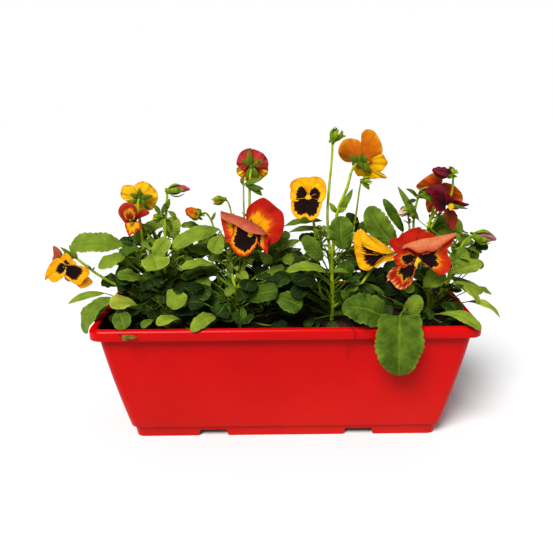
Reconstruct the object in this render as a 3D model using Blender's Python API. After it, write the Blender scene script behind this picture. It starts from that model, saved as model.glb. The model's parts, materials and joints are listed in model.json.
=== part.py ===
"""Pansy planter: a moulded window trough with potting soil and six pansy plants in bloom.

The origin is at the middle of the trough's base, +X runs along the trough, -Y is its front and
+Z is up. Lengths below are millimetres and are scaled by MM when a mesh is made.
"""

import math

import bmesh
import bpy
from mathutils import Matrix, Vector

MM = 0.001
FIT_GAP = 0.3

# Trough: an 18-inch window box, moulded in one piece, with an outward-rolled rim.
TROUGH_LENGTH = 455.0
TROUGH_DEPTH = 185.0
TROUGH_HEIGHT = 152.0
WALL = 2.2
RIM_WIDTH = 7.0
RIM_DROP = 13.0
RIM_SHOULDER = 5.0
END_FLARE = 28.5
SIDE_FLARE = 15.0
END_BULGE = 1.6
SIDE_BULGE = 1.0
BULGE_HEIGHTS = (45.0, 80.0, 115.0)
PLINTH_HEIGHT = 14.5
PLINTH_STEP = 3.5
PLINTH_DRAFT = 2.0
CORNER_RADIUS = 16.0
WALL_CORNER_LESS = 4.0
PLINTH_CORNER_LESS = 6.0
LEAST_CORNER_RADIUS = 3.0
CORNER_STEPS = 4
LIP_ROUND = 1.0
LIP_CORNER_LESS = 6.0

# Two drainage channels run from front to back under the base.
CHANNEL_X = 90.0
CHANNEL_FOOT = 34.5
CHANNEL_ROOF = 32.0
CHANNEL_HEIGHT = 9.0
CHANNEL_BELOW = 1.0
CHANNEL_SPREAD = 1.1
DRAIN_RADIUS = 4.0
DRAIN_Y = 30.0
DRAIN_SIDES = 12
FOOT_HOLLOW_CORNER = 5.0

SOIL_LEVEL = 127.0
SOIL_UNEVEN = 1.5
SOIL_LONG_PIECES = 12
SOIL_SHORT_PIECES = 3
SOIL_WAVE_X = 60.0
SOIL_WAVE_Y = 50.0
SOIL_EDGE_DROP = 4.0
SOIL_RING_SHARES = (0.94, 0.8, 0.55, 0.25)

STEM_SIDES_RESOLUTION = 2
STEM_STEP = 14.0
SOIL_FACET_RISE = 0.25
STEM_UPRIGHT = 6.0

PETIOLE_RADIUS = 0.9
PETIOLE_BEND_ROOM = 0.1
LEAF_THICKNESS = 0.9
PETIOLE_SECTIONS = 4
PETIOLE_PULL = 0.3
BLADE_SECTIONS = 6
BLADE_HEART_BIAS = 0.75
BLADE_FULLNESS = 0.7

# Petals are lobes, each (middle angle, half spread) in degrees from the flower's right side.
UPPER_LOBES = ((50, 42), (135, 42))
LOWER_LOBES = ((192, 32), (270, 42), (348, 32))
PETAL_COLUMNS = 5
PETAL_RADII = (0.3, 0.7, 1.0)
PETAL_NOTCH = 0.28
PETAL_THICKNESS = 0.8
PETAL_CURL = 0.0025
CALYX_LENGTH = 4.0
CALYX_FRONT_RADIUS = 2.8
CALYX_BACK_RADIUS = 1.2
CALYX_SIDES = 8

BUD_SEGMENTS = 8
BUD_RINGS = 6
BUD_STALK_ROOM = 1.2

# A stem is a list of routes: (radius at the foot, radius at the end, points). The first route
# stands on the soil. Each later one starts on a point of an earlier route. A route that carries
# a flower ends with that flower's name, which stands for the middle of its calyx.
STEMS = {
    "plant_1": [
        (2.2, 1.1, [(-168, 0, 0), (-170, -4, 150), (-170, -6, 180), (-171, -4, 205),
                    (-175, 0, 240), (-177, 2, 265), (-178, 5, 281), "plant_1_flower_b"]),
        (1.5, 1.0, [(-170, -6, 180), (-166, -8, 214), (-166, -2, 240), (-174, 4, 254),
                    "plant_1_flower_c"]),
        (1.5, 1.1, [(-170, -4, 150), (-190, -16, 172), (-224, -26, 198), (-242, -28, 214),
                    (-253, -28, 222), "plant_1_flower_a"]),
    ],
    "plant_2": [
        (2.0, 1.2, [(-143, -20, 0), (-141, -24, 155), (-147, -14, 200), (-146, -2, 243),
                    (-141, 4, 296)]),
    ],
    "plant_3": [
        (2.4, 1.5, [(-57, -20, 0), (-58, -20, 156), (-61, -20, 181), (-66, -16, 205)]),
        (1.6, 1.1, [(-60, -20, 170), (-50, -8, 205), (-36, -4, 236), (-33, -12, 254),
                    "plant_3_flower_a"]),
        (1.5, 0.9, [(-58, -20, 140), (-76, -6, 160), (-84, 4, 190), (-86, 12, 235), (-90, 14, 256),
                    (-97, 11, 267), (-103, 8, 264)]),
    ],
    "plant_4": [
        (2.0, 1.1, [(-22, 18, 0), (-17, 20, 165), (-24, 20, 200), (-42, 16, 240),
                    (-42, 14, 275), (-41, 16, 305), "plant_4_flower_a"]),
    ],
    "plant_5": [
        (2.4, 1.1, [(61, 0, 0), (62, -4, 160), (59, -5, 200), (62, -3, 235), (66, 2, 268),
                    (78, 10, 296), (84, 16, 316), "plant_5_flower_a"]),
        (1.5, 1.0, [(59, -5, 200), (54, 4, 262), (59, 13, 330), (60, 15, 353)]),
        (1.6, 1.1, [(62, -2, 145), (78, -16, 162), (92, -28, 182), (106, -28, 204),
                    (114, -33, 219), "plant_5_flower_c"]),
        (1.7, 1.1, [(61, 0, 135), (46, 4, 165), (42, 8, 210), (38, 8, 250), (33, 10, 276),
                    "plant_5_flower_b"]),
    ],
    "plant_6": [
        (2.5, 1.1, [(180, 0, 0), (187, -8, 150), (200, -12, 172), (209, -15, 200),
                    (216, -18, 230), (226, -24, 243)]),
        (1.8, 1.1, [(187, -8, 150), (180, 0, 195), (178, 3, 240), (184, 4, 262), "plant_6_flower_b"]),
        (1.6, 1.1, [(185, -6, 140), (176, -18, 178), (164, -32, 206), (153, -52, 222),
                    "plant_6_flower_a"]),
        (1.3, 1.0, [(178, 3, 240), (192, 5, 264), (204, 2, 288), (204, -1, 314)]),
        (1.3, 1.0, [(180, 0, 195), (164, 8, 232), (161, 4, 262), (164, 2, 286)]),
        (1.3, 1.0, [(178, 3, 240), (184, 10, 262), (188, 6, 280), "plant_6_flower_c"]),
    ],
}

# A flower: (centre, direction it faces, turn of its top about that direction in degrees,
# reach of the upper petals, reach of the lower petals).
FLOWERS = {
    "plant_1_flower_a": ((-262, -38, 214), (-0.35, -0.85, -0.4), 170, 25, 28),
    "plant_1_flower_b": ((-177, 15, 286), (0.1, 0.97, 0.2), 0, 22, 19),
    "plant_1_flower_c": ((-190, -3, 258), (-0.75, -0.6, 0.0), 0, 15, 22),
    "plant_3_flower_a": ((-40, -34, 254), (-0.2, -0.95, 0.1), -30, 38, 28),
    "plant_4_flower_a": ((-39, 25, 322), (0.0, 0.97, 0.2), 0, 20, 19),
    "plant_5_flower_a": ((94, 28, 326), (0.7, 0.65, 0.2), -10, 32, 24),
    "plant_5_flower_b": ((30, 0, 287), (0.0, -0.97, 0.2), 0, 23, 25),
    "plant_5_flower_c": ((119, -42, 224), (-0.4, -0.9, 0.0), 30, 32, 25),
    "plant_6_flower_a": ((148, -73, 226), (0.05, -0.97, 0.15), -10, 38, 36),
    "plant_6_flower_b": ((193, -12, 279), (0.35, -0.85, 0.3), -20, 24, 30),
    "plant_6_flower_c": ((191, 12, 292), (0.1, 0.95, 0.25), 20, 28, 20),
}

# A closed bud: (where its stalk ends, direction it points, length, thickness).
BUDS = {
    "plant_2_bud_a": ((-141, 4, 296), (1.0, 0.0, 0.05), 28, 9),
    "plant_3_bud_a": ((-103, 8, 264), (-0.8, -0.2, 0.45), 19, 11),
    "plant_5_bud_a": ((59.6, 15, 352.2), (0.5, 0.1, 0.85), 13, 11),
    "plant_6_bud_a": ((204, -1, 314), (-0.95, -0.1, 0.2), 27, 12),
    "plant_6_bud_b": ((226, -24, 243), (0.93, -0.15, -0.15), 28, 10),
    "plant_6_bud_c": ((164, 2, 286), (0.75, -0.3, 0.5), 17, 8),
}

# A leaf: (stem, height where its stalk leaves, heart of the blade, tip, width, direction the
# face looks, arch of the blade as a share of its length).
LEAVES = {
    "plant_1_leaf_a": ("plant_1", 205, (-197, -10, 232), (-261, -8, 233), 32, (0, -0.8, 1), 0.14),
    "plant_1_leaf_b": ("plant_1", 154, (-176, -50, 168), (-202, -72, 174), 24, (0, -0.6, 1), 0.1),
    "plant_1_leaf_c": ("plant_1", 160, (-209, -35, 173), (-242, -50, 133), 25, (-0.5, -0.9, 0.8), 0.3),
    "plant_1_leaf_d": ("plant_1", 140, (-197, -60, 164), (-184, -89, 153), 22, (0, -0.6, 1), 0.2),
    "plant_2_leaf_a": ("plant_2", 190, (-160, -24, 223), (-147, -54, 213), 34, (0, -0.3, 1), 0.1),
    "plant_2_leaf_b": ("plant_2", 158, (-138, -50, 187), (-118, -66, 173), 25, (0, -1, 0.5), 0.1),
    "plant_2_leaf_c": ("plant_3", 195, (-80, 0, 249), (-135, -24, 233), 24, (0.1, -0.7, 1), 0.15),
    "plant_3_leaf_a": ("plant_3", 190, (-84, -22, 208), (-124, -40, 208), 18, (0, -0.3, 1), 0.15),
    "plant_3_leaf_b": ("plant_3", 135, (-83, -62, 158), (-107, -93, 151), 18, (0.3, -0.5, 1), 0.2),
    "plant_3_leaf_c": ("plant_3", 160, (-50, -45, 172), (-8, -58, 187), 26, (0, -0.9, 1), 0.1),
    "plant_4_leaf_a": ("plant_4", 155, (-14, -50, 178), (20, -62, 168), 27, (0, -1, 0.8), 0.1),
    "plant_5_leaf_a": ("plant_5", 190, (46, -26, 215), (22, -34, 246), 20, (0.2, -1, 0.4), 0.05),
    "plant_5_leaf_b": ("plant_5", 205, (72, -18, 226), (68, -14, 266), 31, (0, -1, 0.2), 0.05),
    "plant_5_leaf_c": ("plant_5", 205, (138, -2, 227), (103, 4, 273), 31, (-0.2, -1, 0.4), 0.08),
    "plant_6_leaf_a": ("plant_6", 170, (213, 5, 199), (245, 8, 217), 24, (-0.3, -0.8, 0.7), 0.1),
    "plant_6_leaf_b": ("plant_6", 165, (206, -30, 186), (234, -42, 162), 19, (0.4, -0.5, 1), 0.2),
    "plant_6_leaf_c": ("plant_6", 136, (226, -27, 160), (264, -36, 142), 13, (0.3, -0.4, 1), 0.2),
    "plant_6_leaf_d": ("plant_6", 133, (180, -64, 158), (221, -96, 151), 20, (0, -0.5, 1), 0.14),
    "plant_6_leaf_e": ("plant_6", 138, (129, -94, 168), (129, -104, 99), 52, (0, -1, 0.1), 0.08),
    "plant_6_leaf_f": ("plant_6", 132, (111, -84, 164), (64, -88, 177), 36, (0, -1, 0.7), 0.08),
    "plant_6_leaf_g": ("plant_6", 160, (164, -50, 187), (186, -58, 207), 24, (0, -1, 0.6), 0.08),
    "plant_2_leaf_d": ("plant_2", 165, (-136, 50, 196), (-122, 84, 188), 30, (0, 0.5, 1), 0.15),
    "plant_4_leaf_b": ("plant_4", 165, (-4, 55, 200), (16, 90, 192), 30, (0, 0.5, 1), 0.15),
    "plant_5_leaf_d": ("plant_5", 170, (84, 50, 196), (106, 84, 184), 30, (0, 0.5, 1), 0.15),
}


def clear_scene():
    for old in list(bpy.data.objects):
        bpy.data.objects.remove(old, do_unlink=True)


def new_collection(name):
    collection = bpy.data.collections.new(name)
    bpy.context.scene.collection.children.link(collection)
    return collection


def principled(name, colour, roughness):
    material = bpy.data.materials.new(name)
    material.use_nodes = True
    shader = material.node_tree.nodes["Principled BSDF"]
    shader.inputs["Base Color"].default_value = (*colour, 1.0)
    shader.inputs["Roughness"].default_value = roughness
    return material


def add_object(name, mesh_or_curve, collection, material):
    obj = bpy.data.objects.new(name, mesh_or_curve)
    collection.objects.link(obj)
    obj.data.materials.append(material)
    return obj


def make_helper(obj):
    obj.hide_render = True
    obj.display_type = "WIRE"


def mesh_from(name, bm):
    bmesh.ops.recalc_face_normals(bm, faces=bm.faces)
    mesh = bpy.data.meshes.new(name)
    bm.to_mesh(mesh)
    bm.free()
    return mesh


def loft(name, rings):
    """A closed skin through rings of equally many points, with its two ends filled."""
    bm = bmesh.new()
    loops = [[bm.verts.new(point * MM) for point in ring] for ring in rings]
    count = len(loops[0])
    for lower, upper in zip(loops, loops[1:]):
        for i in range(count):
            j = (i + 1) % count
            bm.faces.new((lower[i], lower[j], upper[j], upper[i]))
    bm.faces.new(reversed(loops[0]))
    bm.faces.new(loops[-1])
    return mesh_from(name, bm)


def boolean(obj, operation, collection):
    modifier = obj.modifiers.new(operation.title(), "BOOLEAN")
    modifier.operation = operation
    modifier.operand_type = "COLLECTION"
    modifier.collection = collection
    modifier.solver = "EXACT"


# Trough and soil ---------------------------------------------------------------------------


def rounded_ring(half_length, half_depth, radius, height):
    """Points round a rectangle with round corners, at one height."""
    points = []
    corners = ((1, 1, 0), (-1, 1, 90), (-1, -1, 180), (1, -1, 270))
    for sign_x, sign_y, start in corners:
        centre = Vector((sign_x * (half_length - radius), sign_y * (half_depth - radius), height))
        for step in range(CORNER_STEPS + 1):
            angle = math.radians(start + 90 * step / CORNER_STEPS)
            points.append(centre + Vector((math.cos(angle), math.sin(angle), 0)) * radius)
    return points


def with_side_points(ring):
    """The same ring, with points added along its four straight sides."""
    corner = CORNER_STEPS + 1
    points = []
    for side in range(4):
        points += ring[side * corner:(side + 1) * corner]
        start, end = points[-1], ring[(side + 1) * corner % len(ring)]
        pieces = SOIL_LONG_PIECES if side % 2 == 0 else SOIL_SHORT_PIECES
        points += [start.lerp(end, piece / pieces) for piece in range(1, pieces)]
    return points


def body_half(height):
    """Half length and half depth of the trough's outer wall at a height above the plinth."""
    rise = (height - PLINTH_HEIGHT) / (TROUGH_HEIGHT - PLINTH_HEIGHT)
    bulge = math.sin(math.pi * rise)
    half_length = TROUGH_LENGTH / 2 - RIM_WIDTH - END_FLARE * (1 - rise) + END_BULGE * bulge
    half_depth = TROUGH_DEPTH / 2 - RIM_WIDTH - SIDE_FLARE * (1 - rise) + SIDE_BULGE * bulge
    return half_length, half_depth


def trough_ring(inset, height, shrink=0.0):
    """A ring inset from the rolled rim's outer face."""
    radius = max(CORNER_RADIUS - shrink, LEAST_CORNER_RADIUS)
    return rounded_ring(TROUGH_LENGTH / 2 - inset, TROUGH_DEPTH / 2 - inset, radius, height)


def wall_ring(height, inset, shrink=0.0):
    """A ring inset from the tapered wall's outer face."""
    half_length, half_depth = body_half(height)
    radius = max(CORNER_RADIUS - WALL_CORNER_LESS - shrink, LEAST_CORNER_RADIUS)
    return rounded_ring(half_length - inset, half_depth - inset, radius, height)


FLOOR = CHANNEL_HEIGHT + WALL + 0.3
RIM_ROOF = TROUGH_HEIGHT - WALL - 1.3
PLINTH_TOP = [side - PLINTH_STEP for side in body_half(PLINTH_HEIGHT)]


def plinth_ring(height, inset):
    draft = PLINTH_DRAFT * (1 - height / PLINTH_HEIGHT)
    half_length, half_depth = (side - draft - inset for side in PLINTH_TOP)
    return rounded_ring(half_length, half_depth, CORNER_RADIUS - PLINTH_CORNER_LESS - inset, height)


def trough_rings():
    """From the underside, up the outside, over the rim and down the inside to the floor."""
    shoulder = [
        trough_ring(
            RIM_SHOULDER * (1 - math.cos(math.radians(turn))),
            TROUGH_HEIGHT - RIM_SHOULDER * (1 - math.sin(math.radians(turn))),
            RIM_SHOULDER * (1 - math.cos(math.radians(turn))),
        )
        for turn in (0, 30, 60, 90)
    ]
    return [
        plinth_ring(0.0, 0.0),
        plinth_ring(PLINTH_HEIGHT, 0.0),
        wall_ring(PLINTH_HEIGHT + 1.0, 0.0),
        *[wall_ring(height, 0.0) for height in BULGE_HEIGHTS],
        wall_ring(RIM_ROOF, 0.0),
        trough_ring(WALL, RIM_ROOF, WALL),
        trough_ring(WALL, TROUGH_HEIGHT - RIM_DROP, WALL),
        trough_ring(0.0, TROUGH_HEIGHT - RIM_DROP),
        *shoulder,
        trough_ring(RIM_WIDTH - LIP_ROUND, TROUGH_HEIGHT, LIP_CORNER_LESS),
        wall_ring(TROUGH_HEIGHT - 1.5, WALL - 0.6),
        wall_ring(TROUGH_HEIGHT - 4.0, WALL, WALL),
        *[wall_ring(height, WALL, WALL) for height in reversed(BULGE_HEIGHTS)],
        wall_ring(PLINTH_HEIGHT + 3.0, WALL, WALL),
        plinth_ring(PLINTH_HEIGHT + 1.0, WALL),
        plinth_ring(FLOOR, WALL),
    ]


def foot_blocks(side_gap):
    """(centre, half length, half depth) of the hollow inside each of the three foot blocks."""
    half_channel = CHANNEL_FOOT / 2 + WALL + side_gap
    end = PLINTH_TOP[0] - PLINTH_DRAFT - 2 * WALL - side_gap
    half_depth = PLINTH_TOP[1] - PLINTH_DRAFT - 2 * WALL - side_gap
    inner = CHANNEL_X + half_channel
    outer_half = (end - inner) / 2
    outer_centre = (end + inner) / 2
    return [
        (-outer_centre, outer_half, half_depth),
        (0.0, CHANNEL_X - half_channel, half_depth),
        (outer_centre, outer_half, half_depth),
    ]


def add_foot_hollows(collection, material, side_gap, bottom, top):
    for number, (centre, half_length, half_depth) in enumerate(foot_blocks(side_gap), 1):
        rings = [
            rounded_ring(half_length, half_depth, FOOT_HOLLOW_CORNER, height)
            for height in (bottom, top)
        ]
        shifted = [[point + Vector((centre, 0, 0)) for point in ring] for ring in rings]
        name = f"{collection.name}_{number}"
        make_helper(add_object(name, loft(name, shifted), collection, material))


def add_channels(collection, material):
    reach = TROUGH_DEPTH
    foot = CHANNEL_FOOT / 2 * CHANNEL_SPREAD
    roof = CHANNEL_ROOF / 2
    for sign in (-1, 1):
        rings = []
        for y in (-reach, reach):
            section = [
                (-foot, -CHANNEL_BELOW),
                (foot, -CHANNEL_BELOW),
                (roof, CHANNEL_HEIGHT),
                (-roof, CHANNEL_HEIGHT),
            ]
            rings.append([Vector((sign * CHANNEL_X + x, y, z)) for x, z in section])
        name = f"channel_{'left' if sign < 0 else 'right'}"
        make_helper(add_object(name, loft(name, rings), collection, material))
        for y in (-DRAIN_Y, DRAIN_Y):
            bm = bmesh.new()
            bmesh.ops.create_cone(
                bm,
                cap_ends=True,
                segments=DRAIN_SIDES,
                radius1=DRAIN_RADIUS * MM,
                radius2=DRAIN_RADIUS * MM,
                depth=2 * FLOOR * MM,
                matrix=Matrix.Translation(Vector((sign * CHANNEL_X, y, FLOOR)) * MM),
            )
            hole = f"{name}_drain_{'front' if y < 0 else 'back'}"
            make_helper(add_object(hole, mesh_from(hole, bm), collection, material))


def add_trough(parts, material):
    trough = add_object("planter_trough", loft("planter_trough", trough_rings()), parts, material)
    cutters = new_collection("trough_cutters")
    add_channels(cutters, material)
    add_foot_hollows(cutters, material, 0.0, WALL, FLOOR + 1.0)
    boolean(trough, "DIFFERENCE", cutters)
    return trough


def soil_height(point):
    """The soil lies a little unevenly and sinks slightly towards the walls."""
    wave = math.sin(point.x / SOIL_WAVE_X) * math.cos(point.y / SOIL_WAVE_Y + 0.6)
    return SOIL_LEVEL + SOIL_UNEVEN * wave


def add_soil(parts, material):
    low = FLOOR + FIT_GAP
    rings = [
        plinth_ring(low, WALL + FIT_GAP),
        plinth_ring(PLINTH_HEIGHT + 1.0, WALL + FIT_GAP),
        wall_ring(PLINTH_HEIGHT + 3.0 + FIT_GAP, WALL + FIT_GAP, WALL),
        *[wall_ring(height, WALL + FIT_GAP, WALL) for height in BULGE_HEIGHTS],
    ]
    surface = wall_ring(SOIL_LEVEL - SOIL_EDGE_DROP, WALL + FIT_GAP, WALL)
    rings.append(surface)
    for share in SOIL_RING_SHARES:
        ring = [Vector((point.x * share, point.y * share, 0)) for point in surface]
        rings.append([Vector((point.x, point.y, soil_height(point))) for point in ring])
    rings = [with_side_points(ring) if len(ring) == len(surface) else ring for ring in rings]
    soil = add_object("potting_soil", loft("potting_soil", rings), parts, material)
    fills = new_collection("soil_foot_fills")
    add_foot_hollows(fills, material, FIT_GAP, WALL + FIT_GAP, low + 1.0)
    boolean(soil, "UNION", fills)
    return soil


# Stems --------------------------------------------------------------------------------------


def smooth_route(points, step):
    """Points along a smooth curve through the given ones, about one step apart."""
    knots = [Vector(point) for point in points]
    knots = [knots[0] * 2 - knots[1], *knots, knots[-1] * 2 - knots[-2]]
    route = []
    for a, b, c, d in zip(knots, knots[1:], knots[2:], knots[3:]):
        pieces = max(1, round((c - b).length / step))
        for piece in range(pieces):
            t = piece / pieces
            route.append(
                0.5 * (2 * b + (c - a) * t + (2 * a - 5 * b + 4 * c - d) * t**2
                       + (3 * b - a - 3 * c + d) * t**3)
            )
    route.append(knots[-2])
    return route


def calyx_middle(centre, facing):
    return Vector(centre) - Vector(facing).normalized() * (FIT_GAP + CALYX_LENGTH / 2)


def standing_points(points):
    """A route with its flower's name made a point, and its foot set on the soil."""
    if isinstance(points[-1], str):
        points = [*points[:-1], calyx_middle(*FLOWERS[points[-1]][:2])]
    if points[0][2] > 0:
        return points
    x, y, _ = points[0]
    foot = Vector((x, y, 0))
    # The flat facets of the soil may stand a little above its formula.
    level = soil_height(foot) + FIT_GAP + SOIL_FACET_RISE
    return [(x, y, level), (x, y, level + STEM_UPRIGHT), *points[1:]]


def tube_mesh(name, points, foot_radius, end_radius):
    """A tapering round tube along a route, welded to one closed skin."""
    route = smooth_route(points, STEM_STEP)
    curve = bpy.data.curves.new(name, "CURVE")
    curve.dimensions = "3D"
    curve.bevel_depth = MM
    curve.bevel_resolution = STEM_SIDES_RESOLUTION
    curve.use_fill_caps = True
    spline = curve.splines.new("POLY")
    spline.points.add(len(route) - 1)
    for number, (target, point) in enumerate(zip(spline.points, route)):
        share = number / (len(route) - 1)
        target.co = (*(point * MM), 1.0)
        target.radius = foot_radius + (end_radius - foot_radius) * share
    holder = bpy.data.objects.new(name, curve)
    bpy.context.scene.collection.objects.link(holder)
    graph = bpy.context.evaluated_depsgraph_get()
    mesh = bpy.data.meshes.new_from_object(holder.evaluated_get(graph))
    mesh.transform(holder.matrix_world)
    bpy.data.objects.remove(holder, do_unlink=True)
    bm = bmesh.new()
    bm.from_mesh(mesh)
    bmesh.ops.remove_doubles(bm, verts=bm.verts, dist=0.00001)
    bmesh.ops.recalc_face_normals(bm, faces=bm.faces)
    bm.to_mesh(mesh)
    bm.free()
    mesh.materials.clear()
    return mesh


def turned_to(axis):
    return axis.to_track_quat("Z", "Y").to_matrix().to_4x4()


def add_calyx(name, collection, material, centre, facing):
    """The green cup that carries a flower, with its flat front just behind the petals."""
    axis = Vector(facing).normalized()
    middle = calyx_middle(centre, facing)
    bm = bmesh.new()
    bmesh.ops.create_cone(
        bm,
        cap_ends=True,
        segments=CALYX_SIDES,
        radius1=CALYX_BACK_RADIUS * MM,
        radius2=CALYX_FRONT_RADIUS * MM,
        depth=CALYX_LENGTH * MM,
        matrix=Matrix.Translation(middle * MM) @ turned_to(axis),
    )
    make_helper(add_object(name, mesh_from(name, bm), collection, material))


def add_stems(plant, parts, material):
    routes = STEMS[plant]
    foot_radius, end_radius, points = routes[0]
    name = f"{plant}_stem"
    mesh = tube_mesh(name, standing_points(points), foot_radius, end_radius)
    stem = add_object(name, mesh, parts, material)
    extras = new_collection(f"{plant}_stem_branches")
    for number, (foot_radius, end_radius, points) in enumerate(routes[1:], 1):
        branch = f"{plant}_branch_{number}"
        mesh = tube_mesh(branch, standing_points(points), foot_radius, end_radius)
        make_helper(add_object(branch, mesh, extras, material))
    for flower, (centre, facing, *_) in FLOWERS.items():
        if flower.startswith(plant):
            add_calyx(f"{flower}_calyx", extras, material, centre, facing)
    if extras.objects:
        boolean(stem, "UNION", extras)
    return stem


def stem_at(plant, height):
    """The main stem's middle, direction and radius at a height."""
    foot_radius, end_radius, points = STEMS[plant][0]
    route = smooth_route(standing_points(points), 2.0)
    number = min(range(1, len(route) - 1), key=lambda i: abs(route[i].z - height))
    direction = (route[number + 1] - route[number - 1]).normalized()
    share = number / (len(route) - 1)
    return route[number], direction, foot_radius + (end_radius - foot_radius) * share


# Leaves -------------------------------------------------------------------------------------


def bezier(a, b, c, d, t):
    s = 1 - t
    return a * s**3 + b * (3 * s * s * t) + c * (3 * s * t * t) + d * t**3


def blade_half_width(share):
    """Half the blade's width along it, as a share of the full half width."""
    if not 0 < share < 1:
        return 0.0
    return math.sin(math.pi * share**BLADE_HEART_BIAS) ** BLADE_FULLNESS


def section(centre, along, face, half_width, half_thickness):
    """Six points round the leaf: two edges, and two pairs on its faces."""
    side = along.cross(face).normalized()
    up = side.cross(along).normalized()
    ring = []
    for turn in range(6):
        angle = math.radians(60 * turn)
        ring.append(
            centre + side * (half_width * math.cos(angle)) + up * (half_thickness * math.sin(angle))
        )
    return ring


def leaf_rings(plant, height, heart, tip, width, face, arch):
    heart, tip, face = Vector(heart), Vector(tip), Vector(face).normalized()
    middle, grain, radius = stem_at(plant, height)
    out = heart - middle
    out = (out - grain * out.dot(grain)).normalized()
    root = middle + out * (radius + FIT_GAP + PETIOLE_BEND_ROOM)
    blade = tip - heart
    stalk = (heart - root).length
    leave = (out * 0.8 + Vector((0, 0, 0.6))).normalized()
    arrive = blade.normalized() * 0.5 + (heart - root).normalized()
    arrive.normalize()
    knots = (root, root + leave * stalk * PETIOLE_PULL, heart - arrive * stalk * PETIOLE_PULL, heart)
    rings = []
    for step in range(PETIOLE_SECTIONS):
        t = step / PETIOLE_SECTIONS
        here = bezier(*knots, t)
        ahead = bezier(*knots, t + 0.05)
        along = out if step == 0 else (ahead - here).normalized()
        rings.append(section(here, along, face, PETIOLE_RADIUS, PETIOLE_RADIUS))
    for step in range(BLADE_SECTIONS + 1):
        share = step / BLADE_SECTIONS
        rise = face * (4 * arch * blade.length * share * (1 - share))
        slope = face * (4 * arch * blade.length * (1 - 2 * share))
        half = max(blade_half_width(share) * width / 2, PETIOLE_RADIUS)
        thickness = LEAF_THICKNESS / 2 if 0 < step else PETIOLE_RADIUS
        middle = heart + blade * share + rise
        along = (blade + slope).normalized()
        rings.append(section(middle, along, face, half, thickness))
    return rings


# Flowers and buds ---------------------------------------------------------------------------


def petal_group(name, centre, facing, turn, lobes, reach, layer):
    """One thin lobed sheet: petals that are fused at the heart of the flower."""
    axis = Vector(facing).normalized()
    right = Vector((0, 0, 1)).cross(axis).normalized()
    right = Matrix.Rotation(math.radians(turn), 3, axis) @ right
    up = axis.cross(right)
    bm = bmesh.new()

    def place(angle, radius, lift):
        flat = right * (radius * math.cos(angle)) + up * (radius * math.sin(angle))
        curl = -PETAL_CURL * radius**2 if radius > CALYX_FRONT_RADIUS + 1 else 0.0
        return bm.verts.new((Vector(centre) + flat + axis * (lift + curl)) * MM)

    def sheet(lift):
        hub = place(0.0, 0.0, lift)
        columns = []
        for middle, spread in lobes:
            for step in range(PETAL_COLUMNS):
                swing = 2 * step / (PETAL_COLUMNS - 1) - 1
                angle = math.radians(middle + spread * swing)
                length = reach * (1 - PETAL_NOTCH * swing * swing)
                columns.append([place(angle, length * radius, lift) for radius in PETAL_RADII])
        return hub, columns

    low_hub, low = sheet(layer)
    high_hub, high = sheet(layer + PETAL_THICKNESS)
    for one, two in zip(low, low[1:]):
        bm.faces.new((low_hub, two[0], one[0]))
        for i in range(len(PETAL_RADII) - 1):
            bm.faces.new((one[i], two[i], two[i + 1], one[i + 1]))
    for one, two in zip(high, high[1:]):
        bm.faces.new((high_hub, one[0], two[0]))
        for i in range(len(PETAL_RADII) - 1):
            bm.faces.new((one[i], one[i + 1], two[i + 1], two[i]))
    outline_low = [low_hub, *low[0], *[column[-1] for column in low[1:-1]], *reversed(low[-1])]
    outline_high = [high_hub, *high[0], *[column[-1] for column in high[1:-1]], *reversed(high[-1])]
    count = len(outline_low)
    for i in range(count):
        j = (i + 1) % count
        bm.faces.new((outline_low[i], outline_low[j], outline_high[j], outline_high[i]))
    return mesh_from(name, bm)


def add_flower(name, parts, upper_material, lower_material):
    centre, facing, turn, upper_reach, lower_reach = FLOWERS[name]
    upper = f"{name}_upper_petals"
    lower = f"{name}_lower_petals"
    mesh = petal_group(upper, centre, facing, turn, UPPER_LOBES, upper_reach, 0.0)
    add_object(upper, mesh, parts, upper_material)
    layer = PETAL_THICKNESS + FIT_GAP
    mesh = petal_group(lower, centre, facing, turn, LOWER_LOBES, lower_reach, layer)
    add_object(lower, mesh, parts, lower_material)


def add_bud(name, parts, material):
    """A closed bud: an egg shape lying along its own direction, seated on its stalk's end."""
    seat, direction, length, thickness = BUDS[name]
    axis = Vector(direction).normalized()
    middle = Vector(seat) + axis * (length / 2 + FIT_GAP + BUD_STALK_ROOM)
    shape = Matrix.Diagonal((thickness / 2 * MM, thickness / 2 * MM, length / 2 * MM, 1.0))
    bm = bmesh.new()
    bmesh.ops.create_uvsphere(
        bm,
        u_segments=BUD_SEGMENTS,
        v_segments=BUD_RINGS,
        radius=1.0,
        matrix=Matrix.Translation(middle * MM) @ turned_to(axis) @ shape,
    )
    add_object(name, mesh_from(name, bm), parts, material)


def main():
    clear_scene()
    parts = new_collection("pansy_planter")
    red_plastic = principled("glossy_red_plastic", (0.6, 0.01, 0.01), 0.3)
    add_trough(parts, red_plastic)
    add_soil(parts, principled("moist_potting_soil", (0.03, 0.018, 0.01), 0.95))
    for plant in STEMS:
        add_stems(plant, parts, principled(f"{plant}_stem_green", (0.2, 0.34, 0.03), 0.5))
    for name, shape in LEAVES.items():
        leaf_green = principled(f"{name}_green", (0.09, 0.2, 0.02), 0.5)
        add_object(name, loft(name, leaf_rings(*shape)), parts, leaf_green)
    for name in FLOWERS:
        upper = principled(f"{name}_upper_orange", (0.7, 0.12, 0.01), 0.6)
        lower = principled(f"{name}_lower_yellow", (0.8, 0.4, 0.01), 0.6)
        add_flower(name, parts, upper, lower)
    for name in BUDS:
        add_bud(name, parts, principled(f"{name}_green", (0.2, 0.3, 0.05), 0.5))


main()
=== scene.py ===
"""Pansy planter: a moulded red window trough with potting mix and six pansy plants in bloom.

The origin is at the middle of the trough's base, +X runs along the trough, -Y is its front and
+Z is up. Lengths are millimetres, and MM scales them when a mesh is made.
"""

import json
import math
import random
from functools import partial

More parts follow.
